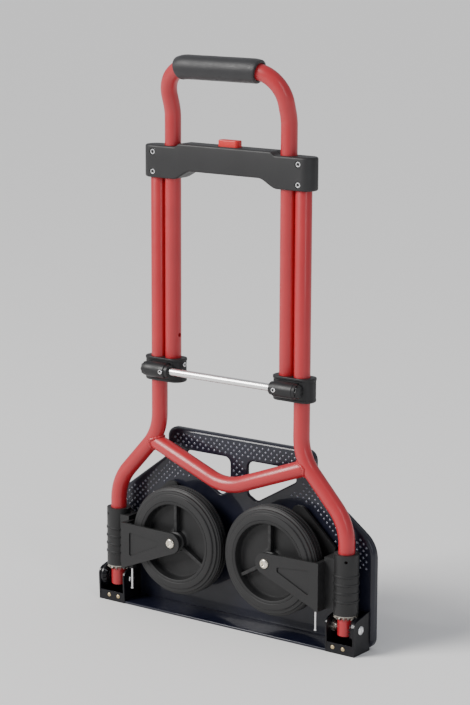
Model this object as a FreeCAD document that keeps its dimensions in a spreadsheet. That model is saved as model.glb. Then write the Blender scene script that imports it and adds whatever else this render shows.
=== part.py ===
import FreeCAD, Part

import math
import os

import Sketcher
from FreeCAD import Placement, Rotation, Vector

# Folding platform cart, folded flat and standing upright on its hinge brackets.
# Millimetres.  +X is the cart's right, +Z is up, and the load side is +Y.
# The two frame tubes lie in the plane Y = 0, and the floor is the plane Z = 0.
# A size that starts with "=" follows from sizes above it.

DOCUMENT = FreeCAD.newDocument("FoldingCart")
SHEET = DOCUMENT.addObject("Spreadsheet::Sheet", "Sizes")

SIZES = [
    # frame tubes
    ("tube_od", 22.0),
    ("tube_wall", 1.5),
    ("tube_gap", 1.5),
    ("frame_half_width", 117.2),
    ("leg_half_width", 190.0),
    ("leg_end_height", 23.0),
    ("lower_knee_height", 172.0),
    ("upper_knee_height", 252.0),
    ("frame_bend_radius", 70.0),
    # cross brace between the upper knees
    ("brace_apex_height", 192.0),
    ("brace_end_height", 238.0),
    ("brace_bend_radius", 75.0),
    ("brace_forward", 4.0),
    # upper housing
    ("housing_bottom", 603.0),
    ("housing_height", 43.5),
    ("housing_overhang", 18.8),
    ("housing_half_width", "=frame_half_width + housing_overhang"),
    ("housing_depth", 30.0),
    ("housing_wall", 3.0),
    ("crown_rise", 4.5),
    ("crown_half_width", 80.0),
    ("crown_slope", 6.0),
    ("arch_rise", 12.0),
    ("arch_half_width", 50.0),
    ("arch_foot_half_width", 84.0),
    ("screw_edge_inset", 8.0),
    ("screw_radius", 2.5),
    ("screw_head_radius", 4.4),
    ("screw_head_height", 2.4),
    # release button and lock
    ("button_width", 36.0),
    ("button_depth", 14.0),
    ("button_proud", 8.5),
    ("button_flange", 2.7),
    ("button_corner_radius", 3.5),
    ("button_travel", 5.0),
    ("flange_clearance", 0.3),
    ("wedge_tip_half_width", 1.0),
    ("lock_bar_clearance", 1.0),
    ("lock_hook_overlap", 1.0),
    ("lock_height_above_bottom", 31.5),
    ("lock_pin_radius", 3.0),
    ("lock_pin_length", 22.6),
    ("lock_upright_width", 8.0),
    ("lock_hook_reach", 12.0),
    ("lock_bar_height", 5.0),
    ("lock_bar_depth", 4.8),
    ("spring_radius", 2.8),
    ("spring_wire", 0.45),
    ("spring_turns", 7.0),
    # sliding handle
    ("handle_foot_height", 329.0),
    ("handle_kink_rise", 46.0),
    ("handle_kink_height", "=housing_bottom + housing_height + handle_kink_rise"),
    ("handle_tilt", 18.7),
    ("handle_reach", 63.9),
    ("handle_kink_radius", 60.0),
    ("handle_corner_radius", 42.0),
    ("grip_radius", 16.2),
    ("grip_wrap", 23.0),
    # lower clamps of the handle
    ("clamp_bottom", 326.6),
    ("clamp_height", 32.4),
    ("clamp_overhang", 18.8),
    ("clamp_half_width", "=frame_half_width + clamp_overhang"),
    ("clamp_inner_overhang", 18.424),
    ("clamp_inner_half_width", "=frame_half_width - tube_od - tube_gap - clamp_inner_overhang"),
    ("clamp_depth", 28.0),
    ("clamp_lip", 1.2),
    ("clamp_rim_height", 4.0),
    ("boss_forward", 21.0),
    ("boss_height_above_bottom", 17.2),
    ("boss_radius", 11.5),
    ("boss_length", 48.0),
    ("boss_outer_inset", 5.0),
    ("boss_outer_half_width", "=clamp_half_width - boss_outer_inset"),
    ("boss_inner_half_width", "=boss_outer_half_width - boss_length"),
    ("boss_web_inset", 3.0),
    ("boss_web_half_height", 8.0),
    ("bolt_head_radius", 5.8),
    ("bolt_sink", 0.6),
    ("rod_radius", 5.0),
    ("rod_engagement", 14.0),
    # folding hinge
    ("pin_height", 33.0),
    ("pin_radius", 4.0),
    ("pin_head_radius", 6.0),
    ("pin_head_height", 2.2),
    ("sheet_gauge", 2.5),
    ("inner_ear_reach", 21.5),
    ("outer_ear_reach", 23.5),
    ("inner_ear_half_width", "=leg_half_width - inner_ear_reach"),
    ("outer_ear_half_width", "=leg_half_width + outer_ear_reach"),
    ("ear_front", 15.5),
    ("ear_nose", 17.5),
    ("ear_nose_height", 45.0),
    ("ear_height", 54.0),
    ("front_lip_height", 14.0),
    ("lip_rivet_height", 8.0),
    ("lip_rivet_inner_inset", 11.5),
    ("lip_rivet_outer_inset", 17.5),
    ("back_rivet_inner_inset", 9.5),
    ("back_rivet_outer_inset", 10.5),
    ("back_rivet_drop", 1.0),
    ("back_rivet_rise", 10.0),
    ("rivet_radius", 2.0),
    ("rivet_head_radius", 3.6),
    ("rivet_head_height", 1.6),
    ("spacer_radius", 8.0),
    ("spacer_wall", 2.0),
    ("spacer_crown_length", 4.5),
    ("spacer_notch_depth", 1.4),
    ("spacer_tooth_half_width", 1.2),
    ("spacer_notches", 10.0),
    # fold gears, a bevel pair of equal size
    ("gear_teeth", 16.0),
    ("gear_outer_cone", 23.0),
    ("gear_inner_cone", 18.0),
    ("gear_root_depth", 1.0),
    ("gear_tip_height", 0.85),
    ("gear_tooth_sink", 0.4),
    ("gear_hub_gauge", 5.0),
    ("gear_tooth_base", 2.9),
    ("gear_tooth_tip", 1.5),
    # load plate
    ("plate_overhang", 28.0),
    ("plate_half_width", "=leg_half_width + plate_overhang"),
    ("plate_shoulder_height", 143.0),
    ("plate_neck_half_width", 122.0),
    ("plate_neck_height", 215.0),
    ("plate_height", 255.0),
    ("plate_face", 22.0),
    ("plate_rim_depth", 11.0),
    ("plate_gauge", 3.0),
    ("plate_foot_radius", 15.0),
    ("plate_shoulder_radius", 40.0),
    ("plate_neck_radius", 15.0),
    ("plate_top_radius", 14.0),
    ("window_radius", 9.0),
    ("window_inner_half_width", 15.0),
    ("window_outer_half_width", 86.0),
    ("window_tip_half_width", 95.0),
    ("window_tip_height", 210.0),
    ("window_top", 226.0),
    ("window_heel_half_width", 30.0),
    ("window_heel_height", 172.0),
    ("window_bottom", 180.0),
    ("ledge_reach", 15.0),
    ("ledge_slope", 3.0),
    # wheel brackets
    ("sleeve_bottom", 52.0),
    ("sleeve_top", 133.8),
    ("sleeve_radius", 16.75),
    ("rib_height", 0.9),
    ("rib_width", 3.4),
    ("rib_first_height", 71.0),
    ("rib_pitch", 11.4),
    ("rib_count", 4.0),
    ("arm_front", 28.0),
    ("arm_gauge", 4.0),
    ("arm_top_height", 121.4),
    ("arm_bottom_height", 55.6),
    ("arm_root_reach", 26.0),
    ("arm_root_half_width", "=leg_half_width - arm_root_reach"),
    ("arm_wall_gauge", 6.0),
    ("arm_end_radius", 14.5),
    ("arm_underside_angle", 23.5),
    ("arm_recess_depth", 1.6),
    ("arm_recess_start", 20.0),
    ("arm_recess_inset", 14.0),
    ("arm_recess_outer_half_width", "=arm_root_half_width - arm_recess_inset"),
    ("arm_recess_bottom_height", 74.6),
    ("arm_recess_top_height", 109.4),
    ("arm_recess_corner", 2.5),
    ("hump_height", 181.0),
    ("hump_inner_half_width", 98.0),
    ("hump_outer_half_width", 112.0),
    ("hump_corner_radius", 8.0),
    ("hump_foot_height", 133.0),
    ("web_half_depth", 12.0),
    ("web_bottom_height", 57.6),
    ("web_top_height", 127.0),
    ("grease_hole_radius", 2.0),
    ("grease_hole_drop", 8.0),
    ("lug_half_width", 4.0),
    ("lug_height", 7.0),
    ("stop_rod_reach", 36.5),
    ("stop_rod_half_width", "=leg_half_width - stop_rod_reach"),
    ("stop_rod_forward", 16.6),
    ("stop_rod_bottom", 26.0),
    ("stop_rod_radius", 1.5),
    # wheels
    ("wheel_radius", 75.0),
    ("wheel_width", 32.0),
    ("wheel_half_spacing", 78.4),
    ("wheel_height", 106.0),
    ("wheel_forward", 5.75),
    ("tyre_height", 18.0),
    ("tyre_inner_radius", "=wheel_radius - tyre_height"),
    ("tyre_side_drop", 4.6),
    ("tyre_side_radius", "=wheel_radius - tyre_side_drop"),
    ("tyre_shoulder", 7.0),
    ("tyre_groove_depth", 1.8),
    ("tyre_groove_width", 2.4),
    ("rim_gauge", 4.0),
    ("web_gauge", 5.0),
    ("hub_radius", 14.0),
    ("hub_collar_radius", 9.5),
    ("rib_gauge", 5.0),
    ("bush_gauge", 2.0),
    ("axle_radius", 4.0),
    ("axle_head_radius", 6.6),
    ("axle_head_height", 2.6),
    ("nut_height", 3.6),
    # fits
    ("running_clearance", 0.08),
    ("free_gap", 0.4),
    ("end_flat", 0.5),
]

for row, (alias, number) in enumerate(SIZES, start=1):
    SHEET.set("A%d" % row, alias)
    SHEET.set("B%d" % row, str(number))
    SHEET.setAlias("B%d" % row, alias)
DOCUMENT.recompute()
KNOWN = {alias for alias, number in SIZES}


def size(alias):
    """The value of a driving dimension or of one that follows from others."""
    return float(getattr(SHEET, alias))


def bound(text):
    """An expression whose driving dimensions are read from the sheet."""
    words = []
    word = ""
    for letter in str(text) + " ":
        if letter.isalnum() or letter in "_.":
            word += letter
            continue
        if word in KNOWN:
            word = "Sizes." + word
        words.append(word + letter)
        word = ""
    return "".join(words).strip()


def value(text):
    """The number that an expression has now."""
    return float(SHEET.evalExpression(bound(text)))


def bind_position(thing, x="0", y="0", z="0"):
    """Tie an object's position to the sheet."""
    for axis, text in (("x", x), ("y", y), ("z", z)):
        thing.setExpression("Placement.Base." + axis, bound(text))


# ------------------------------------------------------------- building blocks
TURN_TO = {
    "z": Rotation(),
    "x": Rotation(Vector(0, 1, 0), 90),
    "y": Rotation(Vector(1, 0, 0), -90),
    "-x": Rotation(Vector(0, 1, 0), -90),
    "-y": Rotation(Vector(1, 0, 0), 90),
}
PLANE_ROLE = {"front": "XZ_Plane", "plan": "XY_Plane", "side": "YZ_Plane"}


def cylinder(label, radius, length, axis="z", x="0", y="0", z="0"):
    """A bar that starts at a point and runs along an axis."""
    bar = DOCUMENT.addObject("Part::Cylinder", label)
    bar.Label = label
    bar.setExpression("Radius", bound(radius))
    bar.setExpression("Height", bound(length))
    bar.Placement = Placement(Vector(), TURN_TO[axis])
    bind_position(bar, x, y, z)
    return bar


def cone(label, start_radius, end_radius, length, axis="z", x="0", y="0", z="0"):
    """A tapered bar that starts at a point and runs along an axis."""
    bar = DOCUMENT.addObject("Part::Cone", label)
    bar.Label = label
    bar.setExpression("Radius1", bound(start_radius))
    bar.setExpression("Radius2", bound(end_radius))
    bar.setExpression("Height", bound(length))
    bar.Placement = Placement(Vector(), TURN_TO[axis])
    bind_position(bar, x, y, z)
    return bar


def block(label, low, high):
    """A box between two corners, each given as three expressions."""
    box = DOCUMENT.addObject("Part::Box", label)
    box.Label = label
    for name, start, end in zip(("Length", "Width", "Height"), low, high):
        box.setExpression(name, bound("(%s) - (%s)" % (end, start)))
    bind_position(box, *low)
    return box


def cut(label, base, tools):
    """The base with every tool taken away."""
    result = base
    for number, tool in enumerate(tools, start=1):
        step = DOCUMENT.addObject("Part::Cut", "%s_cut_%d" % (label, number))
        step.Base = result
        step.Tool = tool
        step.Refine = False
        result = step
    result.Label = label
    return result


def fuse(label, pieces):
    """One solid, or one group of separate solids, made of several pieces."""
    joined = DOCUMENT.addObject("Part::MultiFuse", label + "_fused")
    joined.Shapes = pieces
    joined.Label = label
    return joined


def common(label, pieces):
    """What several pieces share."""
    shared = DOCUMENT.addObject("Part::MultiCommon", label + "_common")
    shared.Shapes = pieces
    shared.Label = label
    return shared


def mirrored(label, source):
    """The left-hand copy of a right-hand piece."""
    copy = DOCUMENT.addObject("Part::Mirroring", label + "_mirror")
    copy.Source = source
    copy.Normal = Vector(1, 0, 0)
    copy.Label = label
    return copy


def draw_outline(sketch, corners):
    """A closed loop of straight lines with every corner tied to the sheet."""
    first = sketch.GeometryCount
    points = [Vector(value(across), value(up), 0) for across, up in corners]
    for start, end in zip(points, points[1:] + points[:1]):
        sketch.addGeometry(Part.LineSegment(start, end), False)
    for index, (across, up) in enumerate(corners):
        line = first + index
        following = first + (index + 1) % len(corners)
        sketch.addConstraint(Sketcher.Constraint("Coincident", line, 2, following, 1))
        for kind, text in (("DistanceX", across), ("DistanceY", up)):
            number = sketch.addConstraint(Sketcher.Constraint(kind, -1, 1, line, 1, value(text)))
            sketch.setExpression("Constraints[%d]" % number, bound(text))


def add_sketch(body, plane, start):
    """An empty sketch on one of the body's own origin planes, moved along its normal."""
    sketch = body.newObject("Sketcher::SketchObject", body.Name + "_sketch")
    role = PLANE_ROLE[plane]
    support = [item for item in body.Origin.OriginFeatures if item.Role == role][0]
    sketch.AttachmentSupport = (support, [""])
    sketch.MapMode = "FlatFace"
    sketch.setExpression("AttachmentOffset.Base.z", bound(start))
    return sketch


def new_body(label):
    """An empty PartDesign body."""
    body = DOCUMENT.addObject("PartDesign::Body", label)
    body.Label = label
    return body


def padded(label, plane, outlines, start, length, rounds=()):
    """Outlines padded along +Z (plan), -Y (front) or +X (side), with rounded corners.

    start is measured along the same direction.  rounds lists the corners to round, each as
    ((across, up), radius).
    """
    body = new_body(label)
    sketch = add_sketch(body, plane, start)
    for outline in outlines:
        draw_outline(sketch, outline)
    pad = body.newObject("PartDesign::Pad", label + "_pad")
    pad.Profile = sketch
    pad.setExpression("Length", bound(length))
    sketch.Visibility = False
    DOCUMENT.recompute()
    for number, (corner, radius) in enumerate(rounds, start=1):
        fillet = body.newObject("PartDesign::Fillet", "%s_round_%d" % (label, number))
        edge = upright_edge(body, plane, value(corner[0]), value(corner[1]))
        fillet.Base = (fillet.BaseFeature, [edge])
        fillet.setExpression("Radius", bound(radius))
        DOCUMENT.recompute()
    return body


def upright_edge(body, plane, across, up):
    """The name of the pad's edge that stands on one corner of its outline."""
    pick = {"front": (0, 2), "plan": (0, 1), "side": (1, 2)}[plane]
    for number, edge in enumerate(body.Shape.Edges, start=1):
        ends = [vertex.Point for vertex in edge.Vertexes]
        if len(ends) == 2 and all(
            abs(point[pick[0]] - across) < 1e-4 and abs(point[pick[1]] - up) < 1e-4
            for point in ends
        ):
            return "Edge%d" % number
    raise ValueError("no edge of %s at %.3f, %.3f" % (body.Label, across, up))


def revolved(label, profile, axis="z", x="0", y="0", z="0"):
    """A profile of (radius, along) corners turned round an axis through a point."""
    body = new_body(label)
    sketch = add_sketch(body, "front", "0")
    draw_outline(sketch, profile)
    turned = body.newObject("PartDesign::Revolution", label + "_turned")
    turned.Profile = sketch
    turned.ReferenceAxis = (sketch, ["V_Axis"])
    turned.Angle = 360
    sketch.Visibility = False
    body.Placement = Placement(Vector(), TURN_TO[axis])
    bind_position(body, x, y, z)
    return body


def feature(label, shape, placement=None):
    """A piece whose shape has no simpler feature, such as a tube bent in space."""
    piece = DOCUMENT.addObject("Part::Feature", label)
    piece.Shape = shape
    piece.Placement = placement or Placement()
    piece.Label = label
    return piece


def bent_path(corners, radii):
    """A wire of straight runs through corners, joined by tangent arcs."""
    edges = []
    start = corners[0]
    for before, corner, after, radius in zip(corners, corners[1:], corners[2:], radii):
        to_before = (before - corner).normalize()
        to_after = (after - corner).normalize()
        half_angle = to_before.getAngle(to_after) / 2
        reach = radius / math.tan(half_angle)
        arc_start = corner + to_before * reach
        arc_end = corner + to_after * reach
        middle = (to_before + to_after).normalize()
        arc_middle = corner + middle * (radius / math.sin(half_angle) - radius)
        edges.append(Part.LineSegment(start, arc_start).toShape())
        edges.append(Part.Arc(arc_start, arc_middle, arc_end).toShape())
        start = arc_end
    edges.append(Part.LineSegment(start, corners[-1]).toShape())
    return Part.Wire(edges)


def swept_bar(path, radius):
    """A solid round bar along a path."""
    first = path.OrderedEdges[0]
    start = path.OrderedVertexes[0].Point
    direction = first.tangentAt(first.FirstParameter)
    circle = Part.Wire([Part.makeCircle(radius, start, direction)])
    return path.makePipeShell([circle], True, False)


def swept_tube(path):
    """A round tube of the common size along a path."""
    outside = swept_bar(path, size("tube_od") / 2)
    inside = swept_bar(path, size("tube_od") / 2 - size("tube_wall"))
    return outside.cut(inside)


# ---------------------------------------------------------- shared expressions
HANDLE_HALF_WIDTH = "(frame_half_width - tube_od - tube_gap)"
SLIDING_RADIUS = "(tube_od / 2 + running_clearance)"
HOUSING_TOP = "(housing_bottom + housing_height)"
CROWN_TOP = "(housing_bottom + housing_height + crown_rise)"
LOCK_HEIGHT = "(housing_bottom + lock_height_above_bottom)"
CLAMP_TOP = "(clamp_bottom + clamp_height)"
BOSS_HEIGHT = "(clamp_bottom + boss_height_above_bottom)"
HANDLE_TRAVEL = "(housing_bottom - clamp_bottom - clamp_height - free_gap)"
FRONT_SCREW_X = "(boss_inner_half_width + rod_engagement * 0.7)"
PIN_BORE = "(pin_radius + running_clearance)"
SIDES = (("left", "-"), ("right", ""))
SCREW_HEIGHTS = {
    "low": "housing_bottom + screw_edge_inset",
    "high": "housing_bottom + housing_height - screw_edge_inset - 1",
}


# ------------------------------------------------------------------ the frame
def frame_axis():
    """The middle line of the right frame tube: upper run, slanted run and straight leg."""
    upper = size("frame_half_width")
    leg = size("leg_half_width")
    corners = [
        Vector(upper, 0, value(HOUSING_TOP) - size("housing_wall") - 2),
        Vector(upper, 0, size("upper_knee_height")),
        Vector(leg, 0, size("lower_knee_height")),
        Vector(leg, 0, size("leg_end_height")),
    ]
    radius = size("frame_bend_radius")
    return bent_path(corners, [radius, radius])


def frame_tube():
    """The right frame tube with its screw holes and the hole for the hinge pin."""
    tube = feature("frame_tube_blank", swept_tube(frame_axis()))
    holes = [
        cylinder("frame_screw_hole_%s" % name, "screw_radius", "2 * tube_od", "y",
                 "frame_half_width", "-tube_od", height)
        for name, height in SCREW_HEIGHTS.items()
    ]
    holes.append(cylinder("frame_pin_hole", PIN_BORE, "2 * tube_od", "x",
                          "leg_half_width - tube_od", "0", "pin_height"))
    return cut("frame_tube_right", tube, holes)


def cross_brace():
    """The bent brace, coped where it is welded to the two frame tubes."""
    end = size("brace_end_height")
    level = Part.LineSegment(Vector(0, 0, end), Vector(size("leg_half_width"), 0, end)).toShape()
    meeting = level.distToShape(frame_axis())[1][0][0]
    half = meeting.x - size("tube_od") / 3
    forward = -size("brace_forward")
    apex = Vector(0, forward, size("brace_apex_height"))
    corners = [Vector(-half, forward, end), apex, Vector(half, forward, end)]
    brace = feature("brace_blank", swept_tube(bent_path(corners, [size("brace_bend_radius")])))
    cope = feature("brace_cope", swept_bar(frame_axis(), size("tube_od") / 2))
    return cut("cross_brace", brace, [cope, mirrored("brace_cope_left", cope)])


def leg_bush():
    """The nylon plug in the leg's foot, which carries the hinge pin."""
    plug = cylinder("leg_bush_blank", "tube_od / 2 - tube_wall", "pin_height * 2 / 3", "z",
                    "leg_half_width", "0", "leg_end_height")
    bore = cylinder("leg_bush_bore", PIN_BORE, "tube_od", "x",
                    "leg_half_width - tube_od / 2", "0", "pin_height")
    return cut("leg_bush_right", plug, [bore])


# ---------------------------------------------------------------- the housing
CAVITY_HALF_WIDTH = "(frame_half_width - tube_od * 2)"
CAVITY_FLOOR = "(housing_bottom + arch_rise + housing_wall + 1)"
CAVITY_TOP = "(housing_bottom + housing_height + crown_rise - housing_wall - 1)"
FRAME_TOP = "(housing_bottom + housing_height - housing_wall - 2)"
HALF_HOUSING = "(housing_depth / 2)"


def housing_blank():
    """The housing's outer form, still in one piece."""
    outline = [
        ("-housing_half_width", "housing_bottom"),
        ("-arch_foot_half_width", "housing_bottom"),
        ("-arch_half_width", "housing_bottom + arch_rise"),
        ("arch_half_width", "housing_bottom + arch_rise"),
        ("arch_foot_half_width", "housing_bottom"),
        ("housing_half_width", "housing_bottom"),
        ("housing_half_width", HOUSING_TOP),
        ("crown_half_width", HOUSING_TOP),
        ("crown_half_width - crown_slope", CROWN_TOP),
        ("-(crown_half_width - crown_slope)", CROWN_TOP),
        ("-crown_half_width", HOUSING_TOP),
        ("-housing_half_width", HOUSING_TOP),
    ]
    face = padded("housing_face", "front", [outline], "-" + HALF_HOUSING, "housing_depth")
    rectangle = [
        ("-housing_half_width", "-" + HALF_HOUSING),
        ("housing_half_width", "-" + HALF_HOUSING),
        ("housing_half_width", HALF_HOUSING),
        ("-housing_half_width", HALF_HOUSING),
    ]
    rounds = [(corner, HALF_HOUSING + " - end_flat") for corner in rectangle]
    plan = padded("housing_plan", "plan", [rectangle], "housing_bottom",
                  "housing_height + crown_rise", rounds)
    return common("housing_blank", [face, plan])


def housing_shells():
    """The front and rear shells, parted at the seam in the plane of the tubes."""
    blank = housing_blank()
    voids = housing_voids()
    shells = []
    for name, start, end, recesses in (
        ("front", "-housing_depth", "0", screw_recesses("head", "y", "-" + HALF_HOUSING)),
        ("rear", "0", "housing_depth", screw_recesses("nut", "-y", HALF_HOUSING)),
    ):
        half = block("housing_%s_half" % name,
                     ("-housing_half_width - 1", start, "housing_bottom - 1"),
                     ("housing_half_width + 1", end, CROWN_TOP + " + 1"))
        shell = common("housing_%s_blank" % name, [blank, half])
        shells.append(cut("housing_" + name, shell, voids + recesses))
    return shells


def screw_recesses(kind, axis, face):
    """The four recesses of the screws' heads or nuts, sunk from one face."""
    depth = {"head": "screw_head_height + free_gap", "nut": "nut_height + free_gap"}[kind]
    return [
        cylinder("housing_%s_recess_%s_%s" % (kind, name, side), "screw_head_radius + free_gap",
                 depth, axis, sign + "frame_half_width", face, height)
        for side, sign in SIDES
        for name, height in SCREW_HEIGHTS.items()
    ]


def housing_voids():
    """What both housing shells leave open: cavity, button slot, bores and channels."""
    voids = [
        block("housing_cavity",
              ("-" + CAVITY_HALF_WIDTH, "housing_wall - " + HALF_HOUSING, CAVITY_FLOOR),
              (CAVITY_HALF_WIDTH, HALF_HOUSING + " - housing_wall", CAVITY_TOP)),
        block("button_slot",
              ("-button_width / 2 - free_gap", "-button_depth / 2 - free_gap", CAVITY_FLOOR),
              ("button_width / 2 + free_gap", "button_depth / 2 + free_gap", CROWN_TOP + " + 1")),
        cylinder("lock_bore", "lock_pin_radius + running_clearance", "2 * " + HANDLE_HALF_WIDTH,
                 "x", "-" + HANDLE_HALF_WIDTH, "0", LOCK_HEIGHT),
    ]
    for side, sign in SIDES:
        for name, height in SCREW_HEIGHTS.items():
            voids.append(cylinder("housing_screw_bore_%s_%s" % (name, side), "screw_radius",
                                  "housing_depth", "y",
                                  sign + "frame_half_width", "-" + HALF_HOUSING, height))
        voids.append(cylinder("frame_channel_" + side, SLIDING_RADIUS,
                              FRAME_TOP + " - housing_bottom", "z",
                              sign + "frame_half_width", "0", "housing_bottom"))
        voids.append(cylinder("handle_channel_" + side, SLIDING_RADIUS,
                              "housing_height + crown_rise", "z",
                              sign + HANDLE_HALF_WIDTH, "0", "housing_bottom"))
    return voids


def housing_screws():
    """Four recessed socket screws that clamp the shells round the frame tubes."""
    pieces = []
    sockets = []
    for side, sign in SIDES:
        for name, height in SCREW_HEIGHTS.items():
            tag = "%s_%s" % (name, side)
            across = sign + "frame_half_width"
            head_front = "free_gap - " + HALF_HOUSING
            pieces.append(cylinder("housing_screw_head_" + tag, "screw_head_radius",
                                   "screw_head_height", "y", across, head_front, height))
            pieces.append(cylinder("housing_screw_shank_" + tag, "screw_radius",
                                   "housing_depth - 2 * free_gap", "y",
                                   across, head_front, height))
            sockets.append(hexagon("housing_screw_socket_" + tag, "screw_radius * 0.8",
                                   "screw_head_height / 2", "y", across, head_front, height))
    return cut("housing_screws", fuse("housing_screw_blanks", pieces), sockets)


def hexagon(label, circumradius, length, axis="z", x="0", y="0", z="0"):
    """A hexagonal bar that starts at a point and runs along an axis."""
    bar = DOCUMENT.addObject("Part::Prism", label)
    bar.Label = label
    bar.Polygon = 6
    bar.setExpression("Circumradius", bound(circumradius))
    bar.setExpression("Height", bound(length))
    bar.Placement = Placement(Vector(), TURN_TO[axis])
    bind_position(bar, x, y, z)
    return bar


def housing_nuts():
    """Four hexagon nuts in the back of the rear shell."""
    nuts = []
    bores = []
    for side, sign in SIDES:
        for name, height in SCREW_HEIGHTS.items():
            tag = "%s_%s" % (name, side)
            place = (sign + "frame_half_width", HALF_HOUSING + " - free_gap", height)
            nuts.append(hexagon("housing_nut_" + tag, "screw_head_radius", "nut_height", "-y", *place))
            bores.append(cylinder("housing_nut_bore_" + tag, "screw_radius",
                                  "nut_height", "-y", *place))
    return cut("housing_nuts", fuse("housing_nut_blanks", nuts), bores)


# ------------------------------------------------------- release button and lock
FLANGE_BOTTOM = "(%s - flange_clearance - button_flange)" % CAVITY_TOP
WEDGE_POINT = "(%s - button_width / 2 + button_travel - wedge_tip_half_width)" % FLANGE_BOTTOM
HOOK_TOP = "(%s - 2 * button_travel)" % FLANGE_BOTTOM
BAR_BOTTOM = "(%s + lock_bar_clearance)" % CAVITY_FLOOR
BAR_TOP = "(%s + lock_bar_height)" % BAR_BOTTOM
LAYER_NEAR = "(spring_radius + 2 * spring_wire + free_gap)"
LAYER_FAR = "(%s + lock_bar_depth)" % LAYER_NEAR


def release_button():
    """The push button, its flange and the wedge that draws the lock pins inwards."""
    half_width = "button_width / 2"
    half_depth = "button_depth / 2"
    plan = [
        ("-" + half_width, "-" + half_depth),
        (half_width, "-" + half_depth),
        (half_width, half_depth),
        ("-" + half_width, half_depth),
    ]
    cap = padded("button_cap", "plan", [plan], FLANGE_BOTTOM,
                 CROWN_TOP + " + button_proud - " + FLANGE_BOTTOM,
                 [(corner, "button_corner_radius") for corner in plan])
    flange = block("button_flange_plate",
                   ("-button_width / 2 - button_flange", "-" + LAYER_FAR, FLANGE_BOTTOM),
                   ("button_width / 2 + button_flange", LAYER_FAR,
                    FLANGE_BOTTOM + " + button_flange"))
    wedge = padded("button_wedge", "front", [[
        ("-wedge_tip_half_width", WEDGE_POINT + " + wedge_tip_half_width"),
        ("wedge_tip_half_width", WEDGE_POINT + " + wedge_tip_half_width"),
        (FLANGE_BOTTOM + " - " + WEDGE_POINT, FLANGE_BOTTOM),
        (WEDGE_POINT + " - " + FLANGE_BOTTOM, FLANGE_BOTTOM),
    ]], "-" + LAYER_FAR, "2 * " + LAYER_FAR)
    pocket = cylinder("button_spring_pocket", "spring_radius + spring_wire + free_gap",
                      FLANGE_BOTTOM + " - " + WEDGE_POINT + " - button_travel", "z",
                      "0", "0", WEDGE_POINT)
    return cut("release_button", fuse("button_blank", [cap, flange, wedge]), [pocket])


def button_spring():
    """The return spring between the cavity floor and the button's pocket."""
    wire = size("spring_wire")
    low = value(CAVITY_FLOOR) + wire
    high = value(FLANGE_BOTTOM) - size("button_travel") - wire
    radius = size("spring_radius")
    helix = Part.makeHelix((high - low) / size("spring_turns"), high - low, radius)
    section = Part.Wire([Part.makeCircle(wire, Vector(radius, 0, 0), Vector(0, 1, 0))])
    coil = Part.Wire(helix).makePipeShell([section], True, True)
    return feature("button_spring", coil, Placement(Vector(0, 0, low), Rotation()))


def lock_pin():
    """The left lock pin with its bar and the hook on the far side of the wedge."""
    tip = "(%s - tube_od / 2 - free_gap)" % HANDLE_HALF_WIDTH
    heel = "(%s - lock_pin_length)" % tip
    pin = cylinder("lock_pin_bar", "lock_pin_radius", "lock_pin_length", "x",
                   "-" + tip, "0", LOCK_HEIGHT)
    upright = block("lock_pin_upright",
                    ("-" + heel, "-" + LAYER_FAR, BAR_BOTTOM),
                    ("lock_upright_width - " + heel, "lock_pin_radius",
                     LOCK_HEIGHT + " + lock_pin_radius"))
    bar = block("lock_pin_slide",
                ("-" + heel, "-" + LAYER_FAR, BAR_BOTTOM),
                ("lock_hook_reach", "-" + LAYER_NEAR, BAR_TOP))
    hook = padded("lock_pin_hook", "front", [[
        ("end_flat", BAR_TOP + " - lock_hook_overlap"),
        ("lock_hook_reach", BAR_TOP + " - lock_hook_overlap"),
        ("lock_hook_reach", HOOK_TOP),
        (HOOK_TOP + " - " + WEDGE_POINT + " + end_flat", HOOK_TOP),
        ("end_flat", WEDGE_POINT),
    ]], LAYER_NEAR, "lock_bar_depth")
    return fuse("lock_pin_left", [pin, upright, bar, hook])


# ------------------------------------------------------------ the sliding handle
def handle_corners():
    """The corners of the handle tube's axis, from the left foot to the right foot."""
    half = value(HANDLE_HALF_WIDTH)
    tilt = math.radians(size("handle_tilt"))
    reach = size("handle_reach")
    kink = size("handle_kink_height")
    top = kink + reach * math.cos(tilt)
    forward = -reach * math.sin(tilt)
    right = [
        Vector(half, forward, top),
        Vector(half, 0, kink),
        Vector(half, 0, size("handle_foot_height")),
    ]
    left = [Vector(-corner.x, corner.y, corner.z) for corner in reversed(right)]
    return left + right


def handle_tube():
    """The bent handle tube, with the holes where the lock pins hold it."""
    kink = size("handle_kink_radius")
    corner = size("handle_corner_radius")
    path = bent_path(handle_corners(), [kink, corner, corner, kink])
    tube = feature("handle_blank", swept_tube(path))
    holes = []
    for side, axis, sign in (("left", "-x", "-"), ("right", "x", "")):
        for name, height in (("folded", LOCK_HEIGHT),
                             ("extended", LOCK_HEIGHT + " - " + HANDLE_TRAVEL)):
            holes.append(cylinder("lock_hole_%s_%s" % (name, side), "lock_pin_radius * 0.95",
                                  "tube_od / 2", axis,
                                  "%s(%s - tube_od / 2 - 1)" % (sign, HANDLE_HALF_WIDTH),
                                  "0", height))
        holes.append(cylinder("clamp_screw_hole_" + side, "rivet_radius", "3 * tube_wall", axis,
                              "%s(%s - tube_od / 2 - tube_wall)" % (sign, HANDLE_HALF_WIDTH),
                              "0", CLAMP_TOP + " - screw_edge_inset"))
    return cut("handle_tube", tube, holes)


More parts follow.
